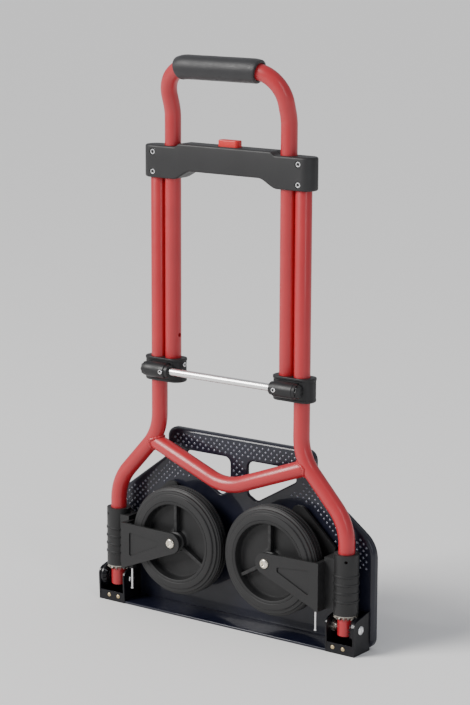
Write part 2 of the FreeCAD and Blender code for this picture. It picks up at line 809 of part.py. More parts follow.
def foam_grip():
    """The foam sleeve over the top of the handle and part of both bends."""
    corners = handle_corners()
    radius = size("handle_corner_radius")
    down = (corners[4] - corners[3]).normalize()
    straight_end = corners[3] - Vector(radius, 0, 0)
    centre = straight_end + down * radius

    def on_bend(degrees):
        angle = math.radians(degrees)
        return centre + Vector(radius * math.sin(angle), 0, 0) - down * (radius * math.cos(angle))

    def other_side(point):
        return Vector(-point.x, point.y, point.z)

    wrap = size("grip_wrap")
    end, middle = on_bend(wrap), on_bend(wrap / 2)
    path = Part.Wire([
        Part.Arc(other_side(end), other_side(middle), other_side(straight_end)).toShape(),
        Part.LineSegment(other_side(straight_end), straight_end).toShape(),
        Part.Arc(straight_end, middle, end).toShape(),
    ])
    bore = swept_bar(path, value(SLIDING_RADIUS))
    return feature("foam_grip", swept_bar(path, size("grip_radius")).cut(bore))


def clamp():
    """The right lower clamp: it holds the handle's foot and slides on the frame tube."""
    bodies = []
    for name, grow, start, length in (
        ("clamp_shell", "0", "clamp_bottom", "clamp_height"),
        ("clamp_rim", "clamp_lip", CLAMP_TOP + " - clamp_rim_height", "clamp_rim_height"),
    ):
        half_depth = "(clamp_depth / 2 + %s)" % grow
        plan = [
            ("clamp_inner_half_width - " + grow, "-" + half_depth),
            ("clamp_half_width + " + grow, "-" + half_depth),
            ("clamp_half_width + " + grow, half_depth),
            ("clamp_inner_half_width - " + grow, half_depth),
        ]
        bodies.append(padded(name, "plan", [plan], start, length,
                             [(corner, half_depth + " - end_flat") for corner in plan]))
    bodies.append(cylinder("clamp_boss", "boss_radius",
                           "boss_outer_half_width - boss_inner_half_width", "x",
                           "boss_inner_half_width", "-boss_forward", BOSS_HEIGHT))
    bodies.append(block("clamp_boss_web",
                        ("boss_inner_half_width + boss_web_inset", "-boss_forward",
                         BOSS_HEIGHT + " - boss_web_half_height"),
                        ("boss_outer_half_width - boss_web_inset", "-clamp_depth / 4",
                         BOSS_HEIGHT + " + boss_web_half_height")))
    bores = [
        cylinder("clamp_frame_bore", SLIDING_RADIUS, "clamp_height", "z",
                 "frame_half_width", "0", "clamp_bottom"),
        cylinder("clamp_handle_bore", SLIDING_RADIUS, "clamp_height", "z",
                 HANDLE_HALF_WIDTH, "0", "handle_foot_height"),
        cylinder("clamp_rod_bore", "rod_radius", "rod_engagement", "x",
                 "boss_inner_half_width", "-boss_forward", BOSS_HEIGHT),
        cylinder("clamp_bolt_bore", "screw_radius",
                 "boss_outer_half_width - boss_inner_half_width", "x",
                 "boss_inner_half_width", "-boss_forward", BOSS_HEIGHT),
        cylinder("clamp_bolt_recess", "bolt_head_radius", "screw_head_height + bolt_sink", "-x",
                 "boss_outer_half_width", "-boss_forward", BOSS_HEIGHT),
        cylinder("clamp_front_bore", "rivet_radius", "boss_radius", "y",
                 FRONT_SCREW_X, "-boss_forward - boss_radius", BOSS_HEIGHT),
        cylinder("clamp_front_recess", "screw_head_radius", "screw_head_height", "y",
                 FRONT_SCREW_X, "-boss_forward - boss_radius", BOSS_HEIGHT),
        cylinder("clamp_inner_bore", "rivet_radius", "tube_od", "x",
                 "clamp_inner_half_width", "0", CLAMP_TOP + " - screw_edge_inset"),
    ]
    return cut("clamp_right", fuse("clamp_body", bodies), bores)


def cross_rod():
    """The bright rod that joins the two clamps."""
    half = "(boss_inner_half_width + rod_engagement)"
    return cylinder("cross_rod", "rod_radius", "2 * " + half, "x",
                    "-" + half, "-boss_forward", BOSS_HEIGHT)


def clamp_screws():
    """An end bolt, a front screw and an inner screw in the right clamp."""
    pieces = [
        cylinder("end_bolt_head", "bolt_head_radius", "screw_head_height", "-x",
                 "boss_outer_half_width - bolt_sink", "-boss_forward", BOSS_HEIGHT),
        cylinder("end_bolt_shank", "screw_radius",
                 "boss_outer_half_width - boss_inner_half_width - rod_engagement - bolt_sink",
                 "-x", "boss_outer_half_width - bolt_sink", "-boss_forward", BOSS_HEIGHT),
        cylinder("front_screw_head", "screw_head_radius", "screw_head_height", "y",
                 FRONT_SCREW_X, "-boss_forward - boss_radius", BOSS_HEIGHT),
        cylinder("front_screw_shank", "rivet_radius", "boss_radius - rod_radius", "y",
                 FRONT_SCREW_X, "-boss_forward - boss_radius", BOSS_HEIGHT),
        cylinder("inner_screw_head", "rivet_head_radius", "rivet_head_height", "-x",
                 "clamp_inner_half_width", "0", CLAMP_TOP + " - screw_edge_inset"),
        cylinder("inner_screw_shank", "rivet_radius",
                 HANDLE_HALF_WIDTH + " - tube_od / 2 - clamp_inner_half_width + tube_wall", "x",
                 "clamp_inner_half_width", "0", CLAMP_TOP + " - screw_edge_inset"),
    ]
    sockets = [
        hexagon("end_bolt_socket", "bolt_head_radius / 2", "screw_head_height / 2", "-x",
                "boss_outer_half_width - bolt_sink", "-boss_forward", BOSS_HEIGHT),
        hexagon("front_screw_socket", "screw_head_radius / 2", "screw_head_height / 2", "y",
                FRONT_SCREW_X, "-boss_forward - boss_radius", BOSS_HEIGHT),
    ]
    return cut("clamp_screws_right", fuse("clamp_screw_blanks", pieces), sockets)


# ------------------------------------------------------------------ load plate
PLATE_BACK = "(plate_face + plate_rim_depth)"
LIP_RIVETS = [
    ("inner_ear_half_width + lip_rivet_inner_inset", "lip_rivet_height"),
    ("outer_ear_half_width - lip_rivet_outer_inset", "lip_rivet_height"),
]
BACK_RIVETS = [
    ("inner_ear_half_width + back_rivet_inner_inset", "pin_height - back_rivet_drop"),
    ("inner_ear_half_width + back_rivet_inner_inset", "pin_height + back_rivet_rise"),
    ("outer_ear_half_width - back_rivet_outer_inset", "pin_height - back_rivet_drop"),
]


def toe_plate():
    """The load plate: a shallow tray with two hand windows and a rear ledge."""
    right = [
        ("plate_half_width", "0"),
        ("plate_half_width", "plate_shoulder_height"),
        ("plate_neck_half_width", "plate_neck_height"),
        ("plate_neck_half_width", "plate_height"),
    ]
    radii = ("plate_foot_radius", "plate_shoulder_radius", "plate_neck_radius", "plate_top_radius")
    left = [("-" + across, up) for across, up in reversed(right)]
    rounds = list(zip(right, radii)) + list(zip(left, reversed(radii)))
    tray = padded("plate_tray", "front", [right + left], "-" + PLATE_BACK,
                  "plate_rim_depth", rounds)
    shell = tray.newObject("PartDesign::Thickness", "plate_tray_shell")
    shell.Base = (shell.BaseFeature, [back_face(tray)])
    shell.setExpression("Value", bound("plate_gauge"))
    shell.Reversed = True
    DOCUMENT.recompute()
    ledge = padded("plate_ledge", "side", [[
        ("-ledge_reach", "0"),
        ("plate_face + plate_gauge", "0"),
        ("plate_face + plate_gauge", "plate_gauge"),
        ("plate_face", "plate_gauge + ledge_slope"),
        ("-ledge_reach", "plate_gauge"),
    ]], "-inner_ear_half_width", "2 * inner_ear_half_width")
    tools = []
    for side, sign in SIDES:
        window = [
            (sign + "window_inner_half_width", "window_bottom"),
            (sign + "window_heel_half_width", "window_heel_height"),
            (sign + "window_tip_half_width", "window_tip_height"),
            (sign + "window_outer_half_width", "window_top"),
            (sign + "window_inner_half_width", "window_top"),
        ]
        tools.append(padded("plate_window_" + side, "front", [window], "-" + PLATE_BACK,
                            "2 * plate_rim_depth",
                            [(window[1], "window_radius"), (window[2], "window_radius / 2"),
                             (window[3], "window_radius / 2"), (window[4], "window_radius")]))
    tools.append(rivet_shanks("plate_rivet_holes", BACK_RIVETS))
    return cut("toe_plate", fuse("plate_blank", [tray, ledge]), tools)


def back_face(body):
    """The name of the face that lies farthest to the back."""
    depths = [face.CenterOfMass.y for face in body.Shape.Faces]
    return "Face%d" % (1 + depths.index(max(depths)))


# --------------------------------------------------------------- folding hinge
def rivet_shanks(label, places):
    """Bars along Y through the hinge bracket at each place, on both sides."""
    bars = []
    for side, sign in SIDES:
        for number, (across, up) in enumerate(places):
            bars.append(cylinder("%s_%s_%d" % (label, side, number), "rivet_radius",
                                 "sheet_gauge + plate_gauge", "y", "%s(%s)" % (sign, across),
                                 "plate_face - sheet_gauge", up))
    return fuse(label, bars)


def hinge_bracket():
    """The right hinge bracket: two ears, a back web, a floor web and a front lip."""
    ear = [
        ("-ear_front", "0"),
        ("-ear_nose", "ear_nose_height"),
        ("plate_face", "ear_height"),
        ("plate_face", "0"),
    ]
    rounds = [(ear[1], "ear_nose_height / 4")]
    inner = padded("inner_ear", "side", [ear], "inner_ear_half_width", "sheet_gauge", rounds)
    outer = padded("outer_ear", "side", [ear], "outer_ear_half_width - sheet_gauge",
                   "sheet_gauge", rounds)
    back = block("bracket_back", ("inner_ear_half_width", "plate_face - sheet_gauge", "0"),
                 ("outer_ear_half_width", "plate_face", "ear_height - 2"))
    floor = block("bracket_floor", ("inner_ear_half_width", "-ear_front", "0"),
                  ("outer_ear_half_width", "plate_face", "sheet_gauge"))
    lip = block("bracket_lip", ("inner_ear_half_width", "-ear_front", "0"),
                ("outer_ear_half_width", "sheet_gauge - ear_front", "front_lip_height"))
    bores = [cylinder("bracket_pin_bore", "pin_radius", "tube_od * 3", "x",
                      "inner_ear_half_width - 5", "0", "pin_height"),
             rivet_shanks("bracket_back_holes", BACK_RIVETS)]
    for number, (across, up) in enumerate(LIP_RIVETS):
        bores.append(cylinder("bracket_lip_hole_%d" % number, "rivet_radius",
                              "2 * sheet_gauge", "y", across,
                              "-ear_front - sheet_gauge / 2", up))
    return cut("hinge_bracket_right",
               fuse("bracket_blank", [inner, outer, back, floor, lip]), bores)


def bracket_rivets():
    """The rivets of the right hinge bracket, each headed at both ends."""
    pieces = []
    for number, (across, up) in enumerate(BACK_RIVETS):
        pieces += rivet("back_rivet_%d" % number, across, "plate_face - sheet_gauge",
                        "sheet_gauge + plate_gauge", up)
    for number, (across, up) in enumerate(LIP_RIVETS):
        pieces += rivet("lip_rivet_%d" % number, across, "-ear_front", "sheet_gauge", up)
    return fuse("bracket_rivets_right", pieces)


def rivet(label, across, front, grip, up):
    """A front head, a shank and a smaller back head."""
    return [
        cone(label + "_head", "rivet_head_radius", "rivet_head_radius * 0.6",
             "rivet_head_height", "-y", across, front, up),
        cylinder(label + "_shank", "rivet_radius", grip, "y", across, front, up),
        cone(label + "_tail", "rivet_head_radius * 0.8", "rivet_head_radius * 0.5",
             "rivet_head_height * 0.7", "y", across, front + " + " + grip, up),
    ]


def hinge_pin():
    """The headed pin through both ears and the foot of the frame tube."""
    return fuse("hinge_pin_right", [
        cylinder("hinge_pin_shaft", "pin_radius", "outer_ear_half_width - inner_ear_half_width",
                 "x", "inner_ear_half_width", "0", "pin_height"),
        cone("hinge_pin_outer_head", "pin_head_radius", "pin_head_radius * 0.7",
             "pin_head_height", "x", "outer_ear_half_width", "0", "pin_height"),
        cone("hinge_pin_inner_head", "pin_head_radius", "pin_head_radius * 0.7",
             "pin_head_height", "-x", "inner_ear_half_width", "0", "pin_height"),
    ])


def add_spokes(body, rectangle, half_length, count):
    """A rectangular spoke padded both ways from the middle plane and repeated round the axis."""
    sketch = add_sketch(body, "plan", "0")
    draw_outline(sketch, rectangle)
    pad = body.newObject("PartDesign::Pad", body.Name + "_spoke")
    pad.Profile = sketch
    pad.Midplane = True
    pad.setExpression("Length", bound("2 * (%s)" % half_length))
    sketch.Visibility = False
    DOCUMENT.recompute()
    ring = body.newObject("PartDesign::PolarPattern", body.Name + "_spokes")
    ring.Originals = [pad]
    axis = [item for item in body.Origin.OriginFeatures if item.Role == "Z_Axis"][0]
    ring.Axis = (axis, [""])
    ring.Angle = 360
    ring.Occurrences = int(value(count))
    body.Tip = ring
    DOCUMENT.recompute()


def hinge_spacer():
    """The castellated spacer between the inner ear and the frame tube."""
    length = "(leg_half_width - tube_od / 2 - inner_ear_half_width - sheet_gauge - free_gap)"
    spacer = revolved("hinge_spacer_right", [
        ("pin_radius", "0"),
        ("spacer_radius - spacer_notch_depth", "0"),
        ("spacer_radius - spacer_notch_depth", "spacer_crown_length"),
        ("pin_radius + spacer_wall", "spacer_crown_length"),
        ("pin_radius + spacer_wall", length),
        ("pin_radius", length),
    ], "x", "inner_ear_half_width + sheet_gauge", "0", "pin_height")
    sketch = add_sketch(spacer, "plan", "0")
    draw_outline(sketch, [
        ("-spacer_tooth_half_width", "spacer_radius - 2 * spacer_notch_depth"),
        ("spacer_tooth_half_width", "spacer_radius - 2 * spacer_notch_depth"),
        ("spacer_tooth_half_width", "spacer_radius"),
        ("-spacer_tooth_half_width", "spacer_radius"),
    ])
    tooth = spacer.newObject("PartDesign::Pad", "spacer_tooth")
    tooth.Profile = sketch
    tooth.setExpression("Length", bound("spacer_crown_length"))
    DOCUMENT.recompute()
    ring = spacer.newObject("PartDesign::PolarPattern", "spacer_teeth")
    ring.Originals = [tooth]
    axis = [item for item in spacer.Origin.OriginFeatures if item.Role == "Z_Axis"][0]
    ring.Axis = (axis, [""])
    ring.Angle = 360
    ring.Occurrences = int(size("spacer_notches"))
    spacer.Tip = ring
    return spacer


# ------------------------------------------------------------------ fold gears
# The two gears of a pair share one apex, where the leg's axis crosses the hinge pin's.  Their
# teeth stand on 45 degree cones, so the wheel bracket turns as far as the load plate does.
CONE = math.sqrt(0.5)


def bevel_gear(profile, tooth_angles):
    """A bevel gear round +Z with its apex at the origin; profile is (radius, along) corners."""
    corners = [Vector(radius, 0, along) for radius, along in profile]
    face = Part.Face(Part.makePolygon(corners + corners[:1]))
    gear = face.revolve(Vector(), Vector(0, 0, 1), 360)
    teeth = []
    for angle in tooth_angles:
        tooth = bevel_tooth()
        tooth.rotate(Vector(), Vector(0, 0, 1), angle)
        teeth.append(tooth)
    return gear.fuse(teeth).removeSplitter()


def bevel_tooth():
    """One straight tooth on the +X side, tapering towards the apex."""
    outer = size("gear_outer_cone")
    sections = []
    for cone_distance in (size("gear_inner_cone"), outer):
        scale = cone_distance / outer
        root = -(size("gear_root_depth") + size("gear_tooth_sink")) * scale
        tip = size("gear_tip_height") * scale
        base = size("gear_tooth_base") * scale / 2
        crest = size("gear_tooth_tip") * scale / 2
        corners = [
            Vector(CONE * (cone_distance + height), across, CONE * (cone_distance - height))
            for height, across in ((root, -base), (root, base), (tip, crest), (tip, -crest))
        ]
        sections.append(Part.makePolygon(corners + corners[:1]))
    return Part.makeLoft(sections, True, True)


def gear_profile(bore, back):
    """The corners of a gear blank behind its root cone."""
    inner = size("gear_inner_cone") * CONE
    outer = size("gear_outer_cone") * CONE
    root = size("gear_root_depth") / CONE
    return [(bore, inner + root), (inner, inner + root), (outer, outer + root),
            (outer, back), (bore, back)]


def crown_gear():
    """The ring under the right wheel bracket's sleeve."""
    step = 360 / size("gear_teeth")
    blank = gear_profile(value(SLIDING_RADIUS), size("sleeve_bottom") - size("pin_height"))
    ring = bevel_gear(blank, [step * number for number in range(int(size("gear_teeth")))])
    bore = Part.makeCylinder(value(SLIDING_RADIUS), size("tube_od") * 2)
    apex = Vector(size("leg_half_width"), 0, size("pin_height"))
    return feature("crown_gear_right", ring.cut(bore), Placement(apex, Rotation()))


def fold_gear():
    """The gear on the right outer ear, toothed only where it meets the ring."""
    step = 360 / size("gear_teeth")
    back = size("outer_ear_half_width") - size("sheet_gauge") - size("leg_half_width")
    hub_radius = size("pin_radius") + size("gear_hub_gauge")
    hub_face = size("tube_od") / 2 + size("free_gap")
    blank = gear_profile(size("pin_radius"), back)
    hub = [(size("pin_radius"), hub_face), (hub_radius, hub_face), (hub_radius, blank[0][1])]
    quarter_turn = range(-6, 2)
    angles = [180 - step * (number + 0.5) for number in quarter_turn]
    apex = Vector(size("leg_half_width"), 0, size("pin_height"))
    gear = bevel_gear(hub + blank[1:], angles)
    return feature("fold_gear_right", gear, Placement(apex, TURN_TO["x"]))


# -------------------------------------------------------------- wheel brackets
ARM_INSIDE = "(arm_front - arm_gauge)"
HALF_FORK = "(arm_front - arm_gauge - wheel_forward)"
REAR_ARM_BACK = "(arm_front - 2 * wheel_forward)"


def sleeve_profile():
    """The bracket's sleeve with its raised ribs, as (radius, height) corners."""
    outside = [("sleeve_radius", "sleeve_bottom")]
    for number in range(int(size("rib_count"))):
        middle = "rib_first_height + %d * rib_pitch" % number
        outside += [
            ("sleeve_radius", middle + " - rib_width / 2"),
            ("sleeve_radius + rib_height", middle + " - rib_width / 4"),
            ("sleeve_radius + rib_height", middle + " + rib_width / 4"),
            ("sleeve_radius", middle + " + rib_width / 2"),
        ]
    outside.append(("sleeve_radius", "sleeve_top"))
    return [(SLIDING_RADIUS, "sleeve_bottom")] + outside + [(SLIDING_RADIUS, "sleeve_top")]


def arm_end(label, start, length):
    """The round end of an arm about the axle."""
    return cylinder(label, "arm_end_radius", length, "y",
                    "wheel_half_spacing", start, "wheel_height")


def wheel_bracket():
    """The right wheel bracket: a sleeve on the leg and a fork round the wheel."""
    underside = (
        "wheel_half_spacing - arm_end_radius * sin(arm_underside_angle * 1 deg)",
        "wheel_height - arm_end_radius * cos(arm_underside_angle * 1 deg)",
    )
    front_outline = [
        ("arm_root_half_width", "arm_bottom_height"),
        ("arm_root_half_width", "arm_top_height"),
        ("wheel_half_spacing", "wheel_height + arm_end_radius"),
        underside,
    ]
    rear_outline = [
        ("arm_root_half_width", "arm_bottom_height"),
        ("arm_root_half_width", "hump_foot_height"),
        ("hump_outer_half_width", "hump_height"),
        ("hump_inner_half_width", "hump_height"),
        ("wheel_half_spacing - arm_end_radius", "wheel_height + 2"),
        underside,
    ]
    recess = [
        ("wheel_half_spacing + arm_recess_start", "wheel_height - arm_recess_corner / 2"),
        ("wheel_half_spacing + arm_recess_start", "wheel_height - arm_recess_corner * 3"),
        ("arm_recess_outer_half_width", "arm_recess_bottom_height"),
        ("arm_recess_outer_half_width", "arm_recess_top_height"),
    ]
    pieces = [
        revolved("bracket_sleeve", sleeve_profile(), "z", "leg_half_width"),
        padded("front_arm", "front", [front_outline], ARM_INSIDE, "arm_gauge"),
        padded("rear_arm", "front", [rear_outline], "-" + REAR_ARM_BACK, "arm_gauge",
               [(rear_outline[2], "hump_corner_radius"), (rear_outline[3], "hump_corner_radius")]),
        arm_end("front_arm_end", "-arm_front", "arm_gauge"),
        arm_end("rear_arm_end", REAR_ARM_BACK + " - arm_gauge", "arm_gauge"),
        block("fork_wall",
              ("arm_root_half_width - arm_wall_gauge", "-arm_front", "arm_bottom_height"),
              ("arm_root_half_width", REAR_ARM_BACK, "arm_top_height")),
        block("fork_web",
              ("arm_root_half_width - 1", "-web_half_depth", "web_bottom_height"),
              ("leg_half_width - tube_od / 3", "web_half_depth", "web_top_height")),
        block("stop_rod_lug",
              ("stop_rod_half_width - lug_half_width", "-stop_rod_forward - lug_half_width",
               "arm_bottom_height"),
              ("arm_root_half_width", "-stop_rod_forward + lug_half_width",
               "arm_bottom_height + lug_height")),
    ]
    tools = [
        cylinder("sleeve_bore", SLIDING_RADIUS, "sleeve_top", "z", "leg_half_width", "0", "0"),
        padded("arm_recess", "front", [recess], "arm_front - arm_recess_depth",
               "2 * arm_recess_depth", [(corner, "arm_recess_corner") for corner in recess]),
        cylinder("bracket_axle_bore", "axle_radius", "3 * arm_front", "y",
                 "wheel_half_spacing", "-1.5 * arm_front", "wheel_height"),
        cylinder("sleeve_grease_hole", "grease_hole_radius", "sleeve_radius * 2", "y",
                 "leg_half_width + sleeve_radius / 2", "-sleeve_radius * 2",
                 "sleeve_top - grease_hole_drop"),
        cylinder("stop_rod_seat", "stop_rod_radius", "lug_height - 1", "z",
                 "stop_rod_half_width", "-stop_rod_forward", "arm_bottom_height - 1"),
    ]
    return cut("wheel_bracket_right", fuse("wheel_bracket_blank", pieces), tools)


def stop_rod():
    """The thin bright rod under the right wheel bracket."""
    return fuse("stop_rod_right", [
        cylinder("stop_rod_bar", "stop_rod_radius",
                 "arm_bottom_height + lug_height - 2 - stop_rod_bottom", "z",
                 "stop_rod_half_width", "-stop_rod_forward", "stop_rod_bottom"),
        cylinder("stop_rod_foot", "stop_rod_radius * 1.5", "stop_rod_radius", "z",
                 "stop_rod_half_width", "-stop_rod_forward", "stop_rod_bottom"),
    ])


# ---------------------------------------------------------------------- wheels
BUSH_BORE = "(axle_radius + running_clearance)"
HUB_BORE = "(axle_radius + running_clearance + bush_gauge)"
HALF_HUB = "(%s - free_gap)" % HALF_FORK
WHEEL_CENTRE = ("wheel_half_spacing", "-wheel_forward", "wheel_height")


def both_ways(half_profile):
    """A profile that is the same on both sides of the wheel's middle plane."""
    front = [(radius, "-(%s)" % along) for radius, along in half_profile]
    return front + list(reversed(half_profile))


def wheel_rim():
    """The moulded rim: a drum, a web, a stepped hub and three ribs."""
    half_drum = "(wheel_width / 2 - 1)"
    drum_inside = "tyre_inner_radius - rim_gauge"
    rim = revolved("wheel_rim_right", both_ways([
        (HUB_BORE, HALF_HUB),
        ("hub_collar_radius", HALF_HUB),
        ("hub_collar_radius", half_drum + " - 1"),
        ("hub_radius", half_drum + " - 1"),
        ("hub_radius", "web_gauge / 2"),
        (drum_inside, "web_gauge / 2"),
        (drum_inside, half_drum),
        ("tyre_inner_radius", half_drum),
    ]), "y", *WHEEL_CENTRE)
    add_spokes(rim, [
        ("-rib_gauge / 2", "-(%s) - 1" % drum_inside),
        ("rib_gauge / 2", "-(%s) - 1" % drum_inside),
        ("rib_gauge / 2", "1 - hub_radius"),
        ("-rib_gauge / 2", "1 - hub_radius"),
    ], half_drum + " - 4", "3")
    return rim


def wheel_tyre():
    """The solid rubber tyre with bevelled shoulders and two tread grooves."""
    half_width = "wheel_width / 2"
    groove_floor = "wheel_radius - tyre_groove_depth"
    return revolved("wheel_tyre_right", both_ways([
        ("tyre_inner_radius", half_width),
        ("tyre_side_radius", half_width),
        ("wheel_radius", half_width + " - tyre_shoulder"),
        ("wheel_radius", "2 * tyre_groove_width"),
        (groove_floor, "2 * tyre_groove_width"),
        (groove_floor, "tyre_groove_width"),
        ("wheel_radius", "tyre_groove_width"),
    ]), "y", *WHEEL_CENTRE)


def wheel_bush():
    """The plain bearing in the hub."""
    return revolved("wheel_bush_right", both_ways([
        (BUSH_BORE, HALF_HUB),
        (HUB_BORE, HALF_HUB),
    ]), "y", *WHEEL_CENTRE)


def wheel_axle():
    """The bolt that carries the right wheel, with a low domed head."""
    head = cone("axle_head", "axle_head_radius", "axle_head_radius * 0.82", "axle_head_height",
                "-y", "wheel_half_spacing", "-arm_front", "wheel_height")
    shaft = cylinder("axle_shaft", "axle_radius",
                     "arm_front + %s + nut_height + 0.6" % REAR_ARM_BACK, "y",
                     "wheel_half_spacing", "-arm_front", "wheel_height")
    socket = hexagon("axle_socket", "axle_radius * 0.8", "axle_head_height * 0.6", "y",
                     "wheel_half_spacing", "-arm_front - axle_head_height", "wheel_height")
    return cut("wheel_axle_right", fuse("axle_blank", [head, shaft]), [socket])


def axle_nut():
    """The nut behind the rear arm."""
    nut = hexagon("axle_nut_blank", "axle_head_radius * 1.1", "nut_height", "y",
                  "wheel_half_spacing", REAR_ARM_BACK, "wheel_height")
    bore = cylinder("axle_nut_bore", "axle_radius", "nut_height", "y",
                    "wheel_half_spacing", REAR_ARM_BACK, "wheel_height")
    return cut("axle_nut_right", nut, [bore])


# -------------------------------------------------------------------- assembly
def build():
    """Every sub-part, each with the name of its file as its label."""
    parts = []
    for make in (frame_tube, leg_bush, clamp, clamp_screws, hinge_bracket, bracket_rivets,
                 hinge_pin, hinge_spacer, fold_gear, crown_gear, wheel_bracket, stop_rod,
                 wheel_rim, wheel_tyre, wheel_bush, wheel_axle, axle_nut):
        right = make()
        parts += [right, mirrored(right.Label.replace("right", "left"), right)]
    DOCUMENT.recompute()
    parts.append(cross_brace())
    parts += housing_shells()
    parts += [housing_screws(), housing_nuts(), release_button(), button_spring()]
    left_pin = lock_pin()
    turned = mirrored("lock_pin_swapped", left_pin)
    right_pin = mirrored("lock_pin_right", turned)
    right_pin.Normal = Vector(0, 1, 0)
    parts += [left_pin, right_pin, handle_tube(), foam_grip(), cross_rod(), toe_plate()]
    DOCUMENT.recompute()
    return parts


def check(parts):
    """Stop if anything in the document failed or a sub-part has no sound shape."""
    for thing in DOCUMENT.Objects:
        if {"Invalid", "Error"} & set(thing.State):
            raise RuntimeError("%s failed: %s" % (thing.Label, thing.State))
    for part in parts:
        if part.Shape.isNull() or not part.Shape.isValid() or not part.Shape.Solids:
            raise RuntimeError("%s has no sound solid" % part.Label)


def write(parts):
    """One STEP file for each sub-part."""
    os.makedirs("parts", exist_ok=True)
    for part in parts:
        part.Shape.exportStep("parts/%s.step" % part.Label)


PARTS = build()
check(PARTS)
write(PARTS)
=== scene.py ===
import math

import bmesh
import bpy
from mathutils import Matrix, Vector
from mathutils.bvhtree import BVHTree


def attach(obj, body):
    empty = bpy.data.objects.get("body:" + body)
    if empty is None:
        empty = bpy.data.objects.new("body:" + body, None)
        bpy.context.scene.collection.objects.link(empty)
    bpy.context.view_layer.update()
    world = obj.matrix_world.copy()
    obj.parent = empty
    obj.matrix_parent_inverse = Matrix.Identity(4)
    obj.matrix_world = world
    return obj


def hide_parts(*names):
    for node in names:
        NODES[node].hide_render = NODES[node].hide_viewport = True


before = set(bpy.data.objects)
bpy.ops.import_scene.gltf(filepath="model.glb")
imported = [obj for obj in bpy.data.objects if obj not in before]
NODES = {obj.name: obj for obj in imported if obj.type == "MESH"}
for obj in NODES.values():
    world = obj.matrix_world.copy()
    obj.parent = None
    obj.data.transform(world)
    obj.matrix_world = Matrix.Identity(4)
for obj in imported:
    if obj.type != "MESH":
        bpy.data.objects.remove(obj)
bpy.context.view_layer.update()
MM = 0.001
SIDES = (("left", -1), ("right", 1))

# ------------------------------------------------------------------ sizes, in mm
TUBE = 11.0
BORE = 9.5
FRAME_X = 117.2
FRAME_TOP = 641.5
LEG_X = 190.0
LEG_TOP = 252.0
LEG_BOTTOM = 172.0
LEG_FOOT = 23.0
LEG_BEND = 70.0
HANDLE_X = 93.7
HANDLE_FOOT = 329.0
PIN_Z = 33.0
PIN_INNER = 168.5
PIN_OUTER = 213.5
HOUSING_Z = 603.0
HOUSING_TOP = 646.5
CROWN_TOP = 651.0
CLAMP_Z = 326.6
BOSS_Y = -21.0
BOSS_Z = 343.8
WHEEL = (78.4, -5.75, 106.0)
AXLE_HEAD = -28.0
RIB_INNER = 12.5
RIB_OUTER = 53.8
RIB_HALF_WIDTH = 11.0
RIB_HALF_THICKNESS = 2.4


# ------------------------------------------------------------------ materials
def socket(node, name, value):
    node.inputs[name].default_value = value


def material(name, colour, roughness, metallic=0.0, coat=0.0, coat_roughness=0.1,
             tint=0.12, tint_scale=25.0, grain=(1400.0, 0.15), waves=(60.0, 0.0),
             rough_span=0.08, wear=None, stretch=(1, 1, 1), sheen=0.0, specular=0.5):
    """A procedural finish: uneven colour and gloss, fine grain, slow waves and worn edges."""
    made = bpy.data.materials.new(name)
    made.use_nodes = True
    nodes, links = made.node_tree.nodes, made.node_tree.links
    shader = nodes["Principled BSDF"]
    socket(shader, "Metallic", metallic)
    socket(shader, "Coat Weight", coat)
    socket(shader, "Coat Roughness", coat_roughness)
    socket(shader, "Sheen Weight", sheen)
    socket(shader, "Specular IOR Level", specular)
    place = nodes.new("ShaderNodeTexCoord")
    scaled = nodes.new("ShaderNodeMapping")
    socket(scaled, "Scale", stretch)
    links.new(place.outputs["Object"], scaled.inputs["Vector"])

    def noise(scale, detail=3.0):
        node = nodes.new("ShaderNodeTexNoise")
        socket(node, "Scale", scale)
        socket(node, "Detail", detail)
        links.new(scaled.outputs["Vector"], node.inputs["Vector"])
        return node.outputs["Fac"]

    def spread(source, low, high, start=0.3, end=0.7):
        node = nodes.new("ShaderNodeMapRange")
        for key, value in zip(("From Min", "From Max", "To Min", "To Max"),
                              (start, end, low, high)):
            socket(node, key, value)
        links.new(source, node.inputs["Value"])
        return node.outputs["Result"]

    def mixed(factor, first, second):
        node = nodes.new("ShaderNodeMix")
        node.data_type = "RGBA"
        links.new(factor, node.inputs["Factor"])
        for key, value in ((6, first), (7, second)):
            if isinstance(value, tuple):
                node.inputs[key].default_value = (*value, 1)
            else:
                links.new(value, node.inputs[key])
        return node.outputs[2]

    dark = tuple(c * (1 - tint) for c in colour)
    light = tuple(min(1, c * (1 + tint)) for c in colour)
    shade = mixed(spread(noise(tint_scale), 0, 1), dark, light)
    gloss = spread(noise(tint_scale * 3, 5), roughness - rough_span, roughness + rough_span)
    if wear:
        wear_colour, amount = wear
        edge = nodes.new("ShaderNodeNewGeometry").outputs["Pointiness"]
        worn = spread(edge, 0, amount, 0.53, 0.6)
        broken = nodes.new("ShaderNodeMath")
        broken.operation = "MULTIPLY"
        links.new(worn, broken.inputs[0])
        links.new(spread(noise(180), 0, 1, 0.4, 0.6), broken.inputs[1])
        shade = mixed(broken.outputs[0], shade, wear_colour)
    links.new(shade, shader.inputs["Base Color"])
    links.new(gloss, shader.inputs["Roughness"])
    fine = nodes.new("ShaderNodeBump")
    socket(fine, "Strength", grain[1])
    socket(fine, "Distance", 0.0004)
    links.new(noise(grain[0], 2), fine.inputs["Height"])
    if waves[1]:
        slow = nodes.new("ShaderNodeBump")
        socket(slow, "Strength", waves[1])
        socket(slow, "Distance", 0.002)
        links.new(noise(waves[0], 2), slow.inputs["Height"])
        links.new(slow.outputs["Normal"], fine.inputs["Normal"])
    links.new(fine.outputs["Normal"], shader.inputs["Normal"])
    return made


